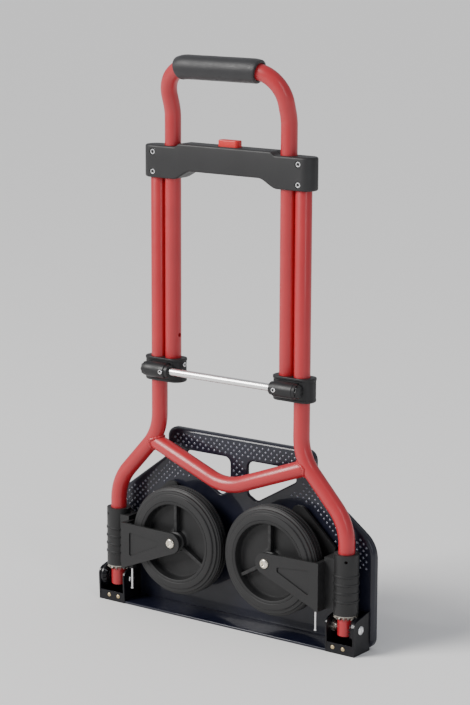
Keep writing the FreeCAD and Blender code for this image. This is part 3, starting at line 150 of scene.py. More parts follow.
RED = material("red_coat", (0.41, 0.013, 0.020), 0.42, coat=0.30, coat_roughness=0.16, tint=0.05,
               grain=(900, 0.10), waves=(140, 0.04), rough_span=0.05)
BUTTON_RED = material("red_moulding", (0.62, 0.014, 0.014), 0.38, tint=0.04, grain=(1500, 0.12))
HOUSING = material("housing_grain", (0.017, 0.017, 0.018), 0.48, specular=0.38, tint=0.10,
                   grain=(1300, 0.30), rough_span=0.05, wear=((0.07, 0.07, 0.07), 0.30))
CLAMP = material("clamp_grain", (0.010, 0.010, 0.011), 0.44, specular=0.38, tint=0.10,
                 grain=(1300, 0.25), wear=((0.05, 0.05, 0.05), 0.30))
BRACKET = material("bracket_grain", (0.013, 0.013, 0.0135), 0.45, specular=0.38, tint=0.08,
                   tint_scale=18, grain=(1200, 0.14), waves=(60, 0.02))
FOAM = material("foam_skin", (0.014, 0.014, 0.016), 0.46, specular=0.4, tint=0.10, tint_scale=60,
                grain=(1100, 0.55), waves=(60, 0.15), rough_span=0.06, sheen=0.10)
RIM = material("rim_moulding", (0.011, 0.011, 0.0115), 0.50, specular=0.35, tint=0.10,
               grain=(1100, 0.22), wear=((0.05, 0.05, 0.05), 0.3))
RUBBER = material("tyre_rubber_skin", (0.014, 0.014, 0.0145), 0.52, specular=0.38, tint=0.12,
                  tint_scale=14, grain=(800, 0.30), rough_span=0.07)
PLATE = material("plate_gloss", (0.005, 0.006, 0.015), 0.42, coat=0.45, specular=0.25, coat_roughness=0.07,
                 tint=0.15, grain=(700, 0.05), waves=(45, 0.04), rough_span=0.06)
HINGE = material("hinge_gloss", (0.004, 0.004, 0.006), 0.40, coat=0.35, specular=0.12, coat_roughness=0.08,
                 tint=0.2, grain=(900, 0.05), waves=(80, 0.02))
GEAR = material("gear_cast", (0.36, 0.34, 0.30), 0.40, metallic=1, tint=0.2, tint_scale=150,
                grain=(900, 0.3))
ZINC = material("bright_zinc_plate", (0.78, 0.78, 0.79), 0.24, metallic=1, tint=0.08,
                tint_scale=250, grain=(1600, 0.12))
NICKEL = material("nickel_plate", (0.78, 0.73, 0.62), 0.26, metallic=1, tint=0.06,
                  tint_scale=200, grain=(1400, 0.10))
ROD = material("drawn_aluminium", (0.88, 0.88, 0.87), 0.28, metallic=1, tint=0.05,
               tint_scale=60, grain=(700, 0.15), stretch=(0.04, 1, 1))
NYLON = material("natural_nylon", (0.55, 0.54, 0.50), 0.5, tint=0.05, grain=(900, 0.2))
BRASS = material("brass_rivet", (0.55, 0.44, 0.26), 0.34, metallic=1, tint=0.1,
                 tint_scale=250, grain=(1500, 0.12))
# painted highlight: the dots are much lighter and bluer than the plate, standing in for the glints of
# light on them
DOTS_PAINTED_HIGHLIGHT = material("plate_dots", (0.085, 0.09, 0.12), 0.30, coat=1.0, coat_roughness=0.08, tint=0.2,
                tint_scale=90, grain=(900, 0.05))
# painted shade: a near-black finish for the discs set in the screw sockets, standing in for the shade in
# those recesses
SOCKET_PAINTED_SHADE = material("socket_painted_shade", (0.012, 0.012, 0.013), 0.42, metallic=0.4, tint=0.15,
                  tint_scale=250, grain=(1500, 0.20))

FINISH = {
    "red_tube": RED, "red_button": BUTTON_RED, "housing_plastic": HOUSING,
    "bracket_plastic": BRACKET, "foam": FOAM, "rim_plastic": RIM, "tyre_rubber": RUBBER,
    "plate_steel": PLATE, "bracket_steel": HINGE, "gear_metal": GEAR, "bright_zinc": ZINC,
    "nickel": NICKEL, "rod_aluminium": ROD, "nylon": NYLON,
}
for node in NODES.values():
    slot_name = node.data.materials[0].name.split(".")[0]
    node.data.materials[0] = FINISH[slot_name]


# ------------------------------------------------------------------ mesh helpers
def smoothed(mesh, angle):
    """Smooth faces, with edges sharper than angle kept sharp."""
    for face in mesh.polygons:
        face.use_smooth = True
    mesh.set_sharp_from_angle(angle=math.radians(angle))


def baked(obj):
    """The object's mesh with its modifiers applied."""
    graph = bpy.context.evaluated_depsgraph_get()
    mesh = bpy.data.meshes.new_from_object(obj.evaluated_get(graph))
    obj.modifiers.clear()
    if obj.type == "MESH":
        obj.data = mesh
        return obj
    made = bpy.data.objects.new(obj.name + "_mesh", mesh)
    bpy.data.objects.remove(obj)
    return made


def link(obj):
    bpy.context.scene.collection.objects.link(obj)
    return obj


def poured(bm, name):
    """A mesh with what the bmesh holds, which is freed."""
    mesh = bpy.data.meshes.new(name)
    bm.to_mesh(mesh)
    bm.free()
    return mesh


def in_metres(bm):
    """Scale from millimetres and turn every face outwards."""
    bmesh.ops.scale(bm, vec=(MM, MM, MM), verts=bm.verts)
    bmesh.ops.recalc_face_normals(bm, faces=bm.faces)
    return bm


def piece(name, bm, body, slot, finish, *stands_for, angle=35, bevel=0.0):
    """A finished piece from a mesh in millimetres, riding on one body."""
    obj = link(bpy.data.objects.new(name, poured(in_metres(bm), name)))
    smoothed(obj.data, angle)
    if bevel:
        soften(obj, bevel)
    obj.data.materials.clear()
    obj.data.materials.append(finish)
    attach(obj, body)
    if stands_for:
        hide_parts(*stands_for)
    return obj


def soften(obj, width, segments=3, angle=32):
    """Small rounds on every sharp edge."""
    edge = obj.modifiers.new("edge", "BEVEL")
    edge.width = width * MM
    edge.segments = segments
    edge.limit_method = "ANGLE"
    edge.angle_limit = math.radians(angle)
    edge.miter_outer = "MITER_ARC"
    edge.harden_normals = True
    baked(obj)


def carve(obj, tools):
    """Take a mesh of tools, in millimetres, out of a piece."""
    mesh = poured(in_metres(tools), "tools")
    knife = link(bpy.data.objects.new("tools", mesh))
    step = obj.modifiers.new("carve", "BOOLEAN")
    step.operation = "DIFFERENCE"
    step.solver = "EXACT"
    step.use_self = True
    step.object = knife
    baked(obj)
    bpy.data.objects.remove(knife)
    bpy.data.meshes.remove(mesh)


def corner_arc(here, back, ahead, radius, steps=None, spacing=None):
    """Points round the arc that rounds a corner, by their number or by their spacing."""
    half = back.angle(ahead) / 2
    reach = radius / math.tan(half)
    centre = here + (back + ahead).normalized() * (radius / math.sin(half))
    first = here + back * reach - centre
    last = here + ahead * reach - centre
    sweep = first.angle(last)
    count = steps or max(6, round(radius * sweep / spacing))
    points = []
    for index in range(count + 1):
        share = index / count
        blend = first * math.sin((1 - share) * sweep) + last * math.sin(share * sweep)
        points.append(centre + blend / math.sin(sweep))
    return points


def rounded(corners, radii, steps=5):
    """A closed outline with each corner rounded by its own radius."""
    if isinstance(radii, (int, float)):
        radii = [radii] * len(corners)
    points = []
    for index, (corner, radius) in enumerate(zip(corners, radii)):
        here = Vector(corner)
        before = (Vector(corners[index - 1]) - here).normalized()
        after = (Vector(corners[(index + 1) % len(corners)]) - here).normalized()
        if radius < 1e-6 or abs(before.angle(after) / 2 - math.pi / 2) < 1e-4:
            points.append(here.copy())
        else:
            points += corner_arc(here, before, after, radius, steps=steps)
    return points


NEAR_AXIS = 0.02
AXES = {
    "x": (Vector((1, 0, 0)), Vector((0, 1, 0)), Vector((0, 0, 1))),
    "y": (Vector((0, 1, 0)), Vector((0, 0, 1)), Vector((1, 0, 0))),
    "z": (Vector((0, 0, 1)), Vector((1, 0, 0)), Vector((0, 1, 0))),
}


def ring(bm, centre, across, up, radius, steps):
    """A circle of vertices."""
    angles = [2 * math.pi * step / steps for step in range(steps)]
    return [bm.verts.new(centre + (across * math.cos(angle) + up * math.sin(angle)) * radius)
            for angle in angles]


def bridge(bm, rings, closed=False):
    """Faces between rings of vertices."""
    pairs = list(zip(rings, rings[1:]))
    if closed:
        pairs.append((rings[-1], rings[0]))
    for low, high in pairs:
        count = len(low)
        for index in range(count):
            following = (index + 1) % count
            bm.faces.new((low[index], low[following], high[following], high[index]))


def lathe(bm, profile, axis, centre, steps=72):
    """A closed (radius, along) outline turned round an axis through a point."""
    along, across, up = AXES[axis]
    origin = Vector(centre)
    rings = []
    for step in range(steps):
        angle = 2 * math.pi * step / steps
        outward = across * math.cos(angle) + up * math.sin(angle)
        rings.append([bm.verts.new(origin + along * point[1] + outward * point[0])
                      for point in profile])
    bridge(bm, rings, closed=True)


def knob(bm, profile, axis, centre, steps=48):
    """An open (radius, along) outline turned into a solid, with flat ends closed at the axis."""
    ends = [(NEAR_AXIS, profile[0][1]), (NEAR_AXIS, profile[-1][1])]
    along, across, up = AXES[axis]
    rings = [ring(bm, Vector(centre) + along * distance, across, up, radius, steps)
             for radius, distance in ends[:1] + list(profile) + ends[1:]]
    bridge(bm, rings)
    bm.faces.new(rings[0])
    bm.faces.new(rings[-1])


def box(bm, low, high):
    """A plain block, to be softened or carved with."""
    corners = [bm.verts.new((x, y, z)) for x in (low[0], high[0])
               for y in (low[1], high[1]) for z in (low[2], high[2])]
    for quad in ((0, 1, 3, 2), (4, 6, 7, 5), (0, 4, 5, 1), (2, 3, 7, 6), (0, 2, 6, 4), (1, 5, 7, 3)):
        bm.faces.new([corners[index] for index in quad])


def bent(corners, radii, step=3.0):
    """Points along straight runs joined by arcs."""
    points = [Vector(corners[0])]
    for before, here, after, radius in zip(corners, corners[1:], corners[2:], radii):
        here = Vector(here)
        back = (Vector(before) - here).normalized()
        ahead = (Vector(after) - here).normalized()
        points += corner_arc(here, back, ahead, radius, spacing=step)
    points.append(Vector(corners[-1]))
    return points


def frames(points):
    """A direction and two cross directions at each point, without twist."""
    tangents = []
    for index, point in enumerate(points):
        before = points[max(0, index - 1)]
        after = points[min(len(points) - 1, index + 1)]
        tangents.append((after - before).normalized())
    side = tangents[0].orthogonal().normalized()
    found = []
    for tangent in tangents:
        side = (side - tangent * side.dot(tangent)).normalized()
        found.append((tangent, side, tangent.cross(side)))
    return found


def tube(bm, points, outer, inner=None, steps=48, edge=0.5, depth=30.0):
    """A round tube along points, hollow to a depth at each end; outer may be a function."""
    cross = frames(points)
    size = outer if callable(outer) else (lambda share: outer)
    lengths = [0.0]
    for first, second in zip(points, points[1:]):
        lengths.append(lengths[-1] + (second - first).length)

    def lip(radius):
        """(distance from the end, radius) steps from the hollow round to the outside."""
        return [(depth, inside), (edge, inside), (0, inside + edge), (0, radius - edge),
                (edge * 0.3, radius - edge * 0.3), (edge, radius)]

    inside = inner if inner else 0.05
    ahead, side, up = cross[0]
    rings = [ring(bm, points[0] + ahead * distance, side, up, radius, steps)
             for distance, radius in lip(size(0.0))]
    for index in range(1, len(points) - 1):
        if edge < lengths[index] and edge < lengths[-1] - lengths[index]:
            rings.append(ring(bm, points[index], *cross[index][1:],
                              size(lengths[index] / lengths[-1]), steps))
    ahead, side, up = cross[-1]
    rings += [ring(bm, points[-1] - ahead * distance, side, up, radius, steps)
              for distance, radius in reversed(lip(size(1.0)))]
    bridge(bm, rings)
    bm.faces.new(rings[0])
    bm.faces.new(rings[-1])


PLANES = {
    "front": Matrix(((1, 0, 0), (0, 0, -1), (0, 1, 0))),
    "side": Matrix(((0, 0, 1), (1, 0, 0), (0, 1, 0))),
    "plan": Matrix(((1, 0, 0), (0, 1, 0), (0, 0, 1))),
}


def flat_curve(name, outlines):
    """A filled flat curve: the first outline is solid and the rest are holes."""
    curve = bpy.data.curves.new(name, "CURVE")
    curve.dimensions = "2D"
    curve.fill_mode = "BOTH"
    for outline in outlines:
        line = curve.splines.new("POLY")
        line.points.add(len(outline) - 1)
        for point, place in zip(line.points, outline):
            point.co = (place[0], place[1], 0, 1)
        line.use_cyclic_u = True
    return curve


def add_curve(bm, curve, plane, shift):
    """Add a curve's faces, turned into a plane and shifted."""
    made = baked(link(bpy.data.objects.new(curve.name, curve)))
    made.data.transform(Matrix.Translation(shift) @ PLANES[plane].to_4x4())
    bm.from_mesh(made.data)
    bpy.data.objects.remove(made)


def slab(bm, outlines, plane, start, end, edge=0.5, segments=2):
    """Flat outlines, the first of them solid and the rest holes, given a thickness and rounds.

    start and end lie along +X (side), +Z (plan) or +Y (front).
    """
    curve = flat_curve("slab", outlines)
    curve.extrude = max(0.0, (end - start) / 2 - edge)
    curve.bevel_depth = edge
    curve.bevel_resolution = segments
    curve.offset = -edge
    middle = (start + end) / 2
    shift = {"front": Vector((0, middle, 0)), "side": Vector((middle, 0, 0)),
             "plan": Vector((0, 0, middle))}[plane]
    add_curve(bm, curve, plane, shift)
    bmesh.ops.remove_doubles(bm, verts=bm.verts, dist=0.001)


def from_node(bm, *names):
    """Copies of CAD nodes in millimetres, with flat faces joined up."""
    for name in names:
        mesh = NODES[name].data
        verts = [bm.verts.new(vertex.co / MM) for vertex in mesh.vertices]
        for face in mesh.polygons:
            try:
                bm.faces.new([verts[index] for index in face.vertices])
            except ValueError:
                pass
    bmesh.ops.remove_doubles(bm, verts=bm.verts, dist=0.0005)
    bmesh.ops.dissolve_degenerate(bm, edges=bm.edges, dist=0.0005)
    bmesh.ops.dissolve_limit(bm, angle_limit=math.radians(0.6), verts=bm.verts, edges=bm.edges)


def mirror_copy(bm, side):
    """Turn a right-hand mesh into the one for its side."""
    if side < 0:
        bmesh.ops.scale(bm, vec=(-1, 1, 1), verts=bm.verts)
        bmesh.ops.reverse_faces(bm, faces=bm.faces)
    return bm


# ------------------------------------------------------------------ the frame
BRACE_END = (129.0, 0.0, 240.2)
BRACE_APEX = (0.0, -4.5, 192.0)
BRACE_BEND = 75.0
WELD_PLACES = 60
WELD_SIDES = 10
WELD_RUN_IN = 45.0


def leg_points(sign):
    """The middle line of one frame tube, from its top to its foot."""
    return bent([(sign * FRAME_X, 0, FRAME_TOP), (sign * FRAME_X, 0, LEG_TOP),
                 (sign * LEG_X, 0, LEG_BOTTOM), (sign * LEG_X, 0, LEG_FOOT)],
                [LEG_BEND, LEG_BEND])


def weld_bead(bm, target, start, direction):
    """A rippled bead where a tube along direction meets the target."""
    side = direction.orthogonal().normalized()
    up = direction.cross(side)
    places = []
    for step in range(WELD_PLACES):
        angle = 2 * math.pi * step / WELD_PLACES
        offset = (side * math.cos(angle) + up * math.sin(angle)) * TUBE
        hit = target.ray_cast(start + offset, direction)[0]
        if hit is None:
            hit = target.find_nearest(start + offset + direction * 40)[0]
        places.append(hit)
    rings = []
    for index, place in enumerate(places):
        tangent = (places[(index + 1) % WELD_PLACES] - places[index - 1]).normalized()
        out = (place - start)
        out = (out - direction * out.dot(direction)).normalized()
        out = (out - tangent * out.dot(tangent)).normalized()
        third = tangent.cross(out)
        size = 2.1 + 0.35 * math.sin(index * 2.1) + 0.15 * math.sin(index * 0.7)
        rings.append(ring(bm, place - direction * 0.3, out, third, size, WELD_SIDES))
    bridge(bm, rings, closed=True)


beads = bmesh.new()
for side, sign in SIDES:
    bm = bmesh.new()
    tube(bm, leg_points(sign), TUBE, BORE, edge=0.5, depth=12)
    target = BVHTree.FromBMesh(bm)
    end = Vector((sign * BRACE_END[0], BRACE_END[1], BRACE_END[2]))
    direction = (end - Vector(BRACE_APEX)).normalized()
    weld_bead(beads, target, end - direction * WELD_RUN_IN, direction)
    piece("frame_tube_coated_" + side, bm, "frame", "red_tube", RED, "frame_tube_" + side)
piece("brace_welds", beads, "frame", "red_tube", RED, angle=60)

bm = bmesh.new()
tube(bm, bent([(-BRACE_END[0], 0, BRACE_END[2]), BRACE_APEX, BRACE_END], [BRACE_BEND]), TUBE)
piece("cross_brace_coated", bm, "frame", "red_tube", RED, "cross_brace")

# ------------------------------------------------------------------ the handle
TILT = math.radians(18.7)
DOWN = Vector((0, math.sin(TILT), -math.cos(TILT)))
KINK = Vector((HANDLE_X, 0, 692.5))
CORNER = KINK - DOWN * 63.9
CORNER_RADIUS = 42.0
KINK_RADIUS = 60.0
LOCK_HOLE_Z = 390.9
LOCK_HOLE_RADIUS = 2.85
GRIP_LEFT = 20.0
GRIP_RIGHT = 13.0
GRIP_BEND_STEPS = 8
GRIP_STRAIGHT_STEPS = 40


def flip(point):
    """The same point on the cart's other side."""
    return Vector((-point.x, point.y, point.z))


bm = bmesh.new()
foot = Vector((HANDLE_X, 0, HANDLE_FOOT))
tube(bm, bent([flip(foot), flip(KINK), flip(CORNER), CORNER, KINK, foot],
              [KINK_RADIUS, CORNER_RADIUS, CORNER_RADIUS, KINK_RADIUS], step=2.5), TUBE, BORE, depth=6)
handle = piece("handle_tube_coated", bm, "handle", "red_tube", RED, "handle_tube")
holes = bmesh.new()
for sign in (-1, 1):
    middle = sign * (HANDLE_X - TUBE)
    lathe(holes, [(0.01, -4), (LOCK_HOLE_RADIUS, -4), (LOCK_HOLE_RADIUS, 4), (0.01, 4)], "x",
          (middle, 0, LOCK_HOLE_Z), 32)
carve(handle, holes)
smoothed(handle.data, 35)


def on_bend(degrees):
    """A point on the handle's bend, the given angle past the end of its straight top."""
    angle = math.radians(abs(degrees))
    centre = CORNER - Vector((CORNER_RADIUS, 0, 0)) + DOWN * CORNER_RADIUS
    point = (centre + Vector((CORNER_RADIUS * math.sin(angle), 0, 0))
             - DOWN * (CORNER_RADIUS * math.cos(angle)))
    return point if degrees >= 0 else flip(point)


grip_path = [on_bend(-GRIP_LEFT * (1 - step / GRIP_BEND_STEPS))
             for step in range(GRIP_BEND_STEPS)]
straight = CORNER.x - CORNER_RADIUS
grip_path += [Vector((-straight + 2 * straight * step / GRIP_STRAIGHT_STEPS, CORNER.y, CORNER.z))
              for step in range(GRIP_STRAIGHT_STEPS + 1)]
grip_path += [on_bend(GRIP_RIGHT * (step + 1) / GRIP_BEND_STEPS)
              for step in range(GRIP_BEND_STEPS)]


def grip_size(share):
    """The foam swells a little between its ends and is pressed in near them."""
    end = min(share, 1 - share)
    return 15.75 + 0.4 * min(1, end / 0.06) + 0.05 * math.sin(share * 19)


bm = bmesh.new()
tube(bm, grip_path, grip_size, 11.15, steps=64, edge=1.3, depth=9)
grip = piece("foam_grip_skin", bm, "handle", "foam", FOAM, "foam_grip")

# ------------------------------------------------------------------ the housing
END_X = 136.0
END_RADIUS = 14.5
FILLET = 2.8
ARCH_RISE = 12.0
ARCH_END = 84.0
ARCH_RUN = 30.0
CROWN_END = 81.0
CROWN_RUN = 8.0
HOUSING_BORE = 11.3
BUTTON_SLOT_FLOOR = 626.5


def smooth_step(value):
    """A smooth rise from 0 to 1."""
    share = max(0.0, min(1.0, value))
    return share * share * (3 - 2 * share)


def housing_levels(across):
    """The lowest and highest level of the housing at a distance from its middle."""
    low = HOUSING_Z + ARCH_RISE * smooth_step((ARCH_END - across) / ARCH_RUN)
    high = HOUSING_TOP + (CROWN_TOP - HOUSING_TOP) * smooth_step((CROWN_END - across) / CROWN_RUN)
    return low, high


def drop(distance):
    """How far the edge fillet has fallen at a distance from the outline."""
    if distance >= FILLET:
        return 0.0
    return FILLET - math.sqrt(max(0.0, FILLET ** 2 - (FILLET - distance) ** 2))


def housing_half(bm, sign, gap=0.12):
    """One shell, lofted across the cart; sign is -1 for the front one."""
    ends = [END_X - END_RADIUS + END_RADIUS * math.sin(math.pi / 2 * step / 14)
            for step in range(15)]
    inner = [step * 2.0 for step in range(61)]
    positive = sorted(set(inner + ends))
    stations = [-x for x in reversed(positive) if x > 0] + positive
    edge_steps = [FILLET * (1 - math.cos(math.pi / 2 * step / 5)) for step in range(6)]
    rings = []
    for x in stations:
        across = abs(x)
        low, high = housing_levels(across)
        past = max(0.0, across - (END_X - END_RADIUS))
        points = []
        for level, way in ((low, 1), (high, -1)):
            run = []
            for distance in edge_steps:
                room = END_RADIUS - distance
                if room > past:
                    y = 0.5 + math.sqrt(room ** 2 - past ** 2)
                    run.append((y, level + way * drop(distance)))
                else:
                    run.append((gap + 0.35, level + way * drop(END_RADIUS - past)))
            middle_drop = drop(END_RADIUS - past)
            run.append((gap + 0.35, level + way * middle_drop))
            run.append((gap, level + way * (middle_drop + 0.4)))
            points.append(run)
        outline = list(reversed(points[0])) + points[1]
        rings.append([bm.verts.new((x, sign * y, z)) for y, z in outline])
    bridge(bm, rings)
    bm.faces.new(rings[0])
    bm.faces.new(rings[-1])
    bmesh.ops.remove_doubles(bm, verts=bm.verts, dist=0.004)


SCREW_Z = (611.0, 637.5)
for name, sign in (("front", -1), ("rear", 1)):
    bm = bmesh.new()
    housing_half(bm, sign)
    shell = piece("housing_shell_" + name, bm, "frame", "housing_plastic", HOUSING,
                  "housing_" + name)
    tools = bmesh.new()
    for way in (-1, 1):
        for across, top in ((FRAME_X, 641.8), (HANDLE_X, 700)):
            lathe(tools, [(0.01, 560), (HOUSING_BORE, 560), (HOUSING_BORE, top), (0.01, top)], "z",
                  (way * across, 0, 0), 48)
        for level in SCREW_Z:
            lathe(tools, rounded([(0.01, sign * 12.1), (4.4, sign * 12.1), (4.4, sign * 14.7),
                                  (4.9, sign * 15.4), (0.01, sign * 15.4)], 0), "y",
                  (way * FRAME_X, 0, level), 40)
    box(tools, (-16.5, -7.2, BUTTON_SLOT_FLOOR), (16.5, 7.2, 660))
    carve(shell, tools)
    smoothed(shell.data, 28)

# the housing screws, with painted shade: a dark hexagon disc set in each socket
screws = bmesh.new()
painted_socket_shades = bmesh.new()
for sign in (-1, 1):
    for level in SCREW_Z:
        place = (sign * FRAME_X, 0, level)
        knob(screws, [(2.1, 14.6), (2.5, 14.2), (2.5, -12.0), (3.9, -12.0), (3.9, -13.9),
                      (3.4, -14.4), (2.3, -14.4), (2.2, -13.2)], "y", place)
        knob(painted_socket_shades, [(2.15, -13.1), (2.15, -13.8)], "y", place, 6)
piece("housing_screw_heads", screws, "frame", "bright_zinc", ZINC, "housing_screws")
piece("housing_screw_socket_painted_shade", painted_socket_shades, "frame", "bright_zinc", SOCKET_PAINTED_SHADE)

# the release button
bm = bmesh.new()
slab(bm, [rounded([(-16, -6.7), (16, -6.7), (16, 6.7), (-16, 6.7)], 4.2, 8)], "plan", 633,
     659.5, edge=1.4, segments=4)
piece("release_button_cap", bm, "button", "red_button", BUTTON_RED, "release_button")

# ------------------------------------------------------------------ the clamps
def stadium(low, high, half, radius):
    return rounded([(low, -half), (high, -half), (high, half), (low, half)], radius, 10)


for side, sign in SIDES:
    bm = bmesh.new()
    slab(bm, [stadium(75.3, 136, 14, 12.6)], "plan", CLAMP_Z, 356, edge=1.0, segments=3)
    slab(bm, [stadium(74.6, 136.6, 14.7, 13.2)], "plan", 355, 359, edge=0.9, segments=3)
    slab(bm, [stadium(75.0, 136.3, 14.35, 12.9)], "plan", 327.8, 330.4, edge=0.5)
    lathe(bm, rounded([(0.01, 125.0), (9.6, 125.0), (9.9, 121.0), (10.6, 120.0), (10.6, 89.0),
                       (9.0, 88.2), (9.0, 83.0), (5.15, 83.0), (5.15, 95), (0.01, 95)],
                      [0, 0.6, 0.4, 0.8, 0.5, 0.4, 1.0, 0.3, 0, 0], 4), "x",
          (0, BOSS_Y, BOSS_Z), 56)
    lobes = [(BOSS_Y + (8.3 + 0.55 * math.cos(8 * turn)) * math.cos(turn),
              BOSS_Z + (8.3 + 0.55 * math.cos(8 * turn)) * math.sin(turn))
             for turn in (2 * math.pi * step / 96 for step in range(96))]
    slab(bm, [lobes], "side", 123.0, 127.5, edge=0.8, segments=3)
    slab(bm, [rounded([(BOSS_Y, BOSS_Z - 8.6), (-9, BOSS_Z - 11.5), (-9, BOSS_Z + 11.5),
                       (BOSS_Y, BOSS_Z + 8.6)], 0.8, 2)], "side", 89, 121, edge=0.8)
    mirror_copy(bm, sign)
    clamp = piece("clamp_moulding_" + side, bm, "handle", "housing_plastic", CLAMP,
                  "clamp_" + side)
    tools = bmesh.new()
    for across in (FRAME_X, HANDLE_X):
        lathe(tools, [(0.01, 320), (11.15, 320), (11.15, 365), (0.01, 365)], "z",
              (sign * across, 0, 0), 48)
    lathe(tools, [(0.01, -35), (3.6, -35), (3.6, -30.2), (0.01, -30.2)], "y",
          (sign * 92.8, 0, BOSS_Z), 32)
    carve(clamp, tools)
    smoothed(clamp.data, 30)

for side, sign in SIDES:
    screws = bmesh.new()
    painted_socket_shades = bmesh.new()
    knob(screws, [(3.2, -29.0), (3.2, -31.4), (2.8, -31.9), (1.9, -31.9), (1.8, -30.9)], "y",
         (92.8, 0, BOSS_Z))
    knob(screws, [(3.2, 83.0), (3.2, 74.4), (2.8, 73.9), (1.9, 73.9), (1.8, 74.9)], "x",
         (0, 0, 351.0))
    knob(screws, [(4.0, 97.5), (4.0, 124.0)], "x", (0, BOSS_Y, BOSS_Z))
    # painted shade: dark hexagon discs set in the sockets of these screws
    knob(painted_socket_shades, [(1.8, -30.8), (1.8, -31.4)], "y", (92.8, 0, BOSS_Z), 6)
    knob(painted_socket_shades, [(1.8, 75.0), (1.8, 74.4)], "x", (0, 0, 351.0), 6)
    mirror_copy(screws, sign)
    mirror_copy(painted_socket_shades, sign)
    piece("clamp_screw_heads_" + side, screws, "handle", "bright_zinc", ZINC,
          "clamp_screws_" + side)
    piece("clamp_screw_socket_painted_shade_" + side, painted_socket_shades, "handle", "bright_zinc", SOCKET_PAINTED_SHADE)

# ------------------------------------------------------------------ the load plate
PLATE_Y = 22.0


def inset(corners, distance):
    """An outline moved inwards by a distance."""
    area = sum(a[0] * b[1] - b[0] * a[1] for a, b in zip(corners, corners[1:] + corners[:1]))
    turn = 1 if area > 0 else -1
    moved = []
    for index, corner in enumerate(corners):
        here = Vector(corner)
        first = (here - Vector(corners[index - 1])).normalized()
        second = (Vector(corners[(index + 1) % len(corners)]) - here).normalized()
        normal_a = Vector((-first.y, first.x)) * turn
        normal_b = Vector((-second.y, second.x)) * turn
        moved.append(here + (normal_a + normal_b) * distance / (1 + normal_a.dot(normal_b)))
    return moved


def offset_outline(corners, radii, signs, distance):
    """An inset outline whose round corners keep their centres."""
    return rounded([tuple(c) for c in inset(corners, distance)],
                   [max(0.4, radius - way * distance) for radius, way in zip(radii, signs)], 8)


PLATE_HALF, NECK_HALF = 218.0, 122.0
SLANT_BOTTOM, SLANT_TOP, PLATE_TOP = 143.0, 215.0, 255.0
PLATE_RIGHT = [(PLATE_HALF, 0.0), (PLATE_HALF, SLANT_BOTTOM), (NECK_HALF, SLANT_TOP),
               (NECK_HALF, PLATE_TOP)]
PLATE_OUTLINE = PLATE_RIGHT + [(-x, z) for x, z in reversed(PLATE_RIGHT)]
PLATE_RADII = [15, 40, 15, 14, 14, 15, 40, 15]
PLATE_WAYS = [1, 1, -1, 1, 1, -1, 1, 1]
WINDOW = [(15.0, 180.0), (30.0, 172.0), (95.0, 210.0), (86.0, 226.0), (15.0, 226.0)]
WINDOW_RADII = [7, 8, 5, 7, 9]


def loft(bm, corners, radii, ways, profile):
    """Walls that follow an outline through (inset, depth) steps."""
    rings = [[bm.verts.new((point[0], depth, point[1]))
              for point in offset_outline(corners, radii, ways, distance)]
             for distance, depth in profile]
    bridge(bm, rings)


def cap(bm, outlines, depth):
    """A flat face at a depth, with holes."""
    add_curve(bm, flat_curve("cap", outlines), "front", Vector((0, depth, 0)))


def quarter(radius, start, way, low, steps=6):
    """(inset, depth) steps round a quarter turn."""
    return [(start + way * radius * (1 - math.cos(math.pi / 2 * step / steps)),
             low - radius * math.sin(math.pi / 2 * step / steps)) for step in range(steps + 1)]


ROLL = 5.0
inner_roll = [(2.5 + 3.1 * (1 - step / 4) ** 2, 25.0 + 3.1 * (step / 4) ** 0.5)
              for step in range(1, 5)]
outer_profile = ([(5.6, 25.0)] + inner_roll + [(2.5, 32.3), (1.25, 33.0), (0.0, 32.3)]
                 + quarter(ROLL, 0.0, 1, PLATE_Y + ROLL))
window_profile = ([(-2.6, 25.0), (-1.4, 26.2), (-0.3, 26.2), (0.0, 25.4)]
                  + quarter(2.6, 0.0, -1, PLATE_Y + 2.6))
windows = [[(sign * x, z) for x, z in WINDOW] for sign in (-1, 1)]
bm = bmesh.new()
loft(bm, PLATE_OUTLINE, PLATE_RADII, PLATE_WAYS, outer_profile)
for window in windows:
    loft(bm, window, WINDOW_RADII, [1] * 5, window_profile)
for distance, hole, depth in ((ROLL, -2.6, PLATE_Y), (5.6, -2.6, 25.0)):
    cap(bm, [offset_outline(PLATE_OUTLINE, PLATE_RADII, PLATE_WAYS, distance)]
        + [offset_outline(window, WINDOW_RADII, [1] * 5, hole) for window in windows], depth)
bmesh.ops.remove_doubles(bm, verts=bm.verts, dist=0.01)
slab(bm, [rounded([(-15, 0), (24.5, 0), (24.5, 4.0), (21.5, 6.2), (-12.0, 3.6), (-15, 3.2)],
                  [0.5, 0.5, 0.3, 2.0, 1.4, 1.2], 4)], "side", -168.4, 168.4, edge=0.4)


SLANT = (PLATE_HALF - NECK_HALF) / (SLANT_TOP - SLANT_BOTTOM)
SIDE_MARGIN = 12.0
SLANT_MARGIN = 14.0
TOP_MARGIN = 6.5
BARE_RADIUS = 84.0
WINDOW_SLOPE = 0.58
DOT_PITCH = 9.5
DOT_ROW = 4.7
DOT_START = 212.0
DOT_PROFILE = [(1.9, 0.05), (1.6, -0.4), (0.9, -0.75)]


def on_pattern(x, z):
    """True where the plate carries its anti-slip dots."""
    across = abs(x)
    if z > SLANT_TOP:
        inside = across <= NECK_HALF - SIDE_MARGIN and z <= PLATE_TOP - TOP_MARGIN
    else:
        slant = (SLANT_TOP - z) * SLANT + NECK_HALF
        inside = across <= slant - SLANT_MARGIN and across <= PLATE_HALF - SIDE_MARGIN
    by_wheel = math.hypot(across - WHEEL[0], z - WHEEL[2]) < BARE_RADIUS or z < 108
    by_web = across < 12 and z < 196
    by_window = (8 < across < 103 and 164 < z < 231
                 and z > 168 + (across - 30) * WINDOW_SLOPE - 8)
    below_windows = across < 70 and z < 182
    return inside and not (by_wheel or by_web or by_window or below_windows)


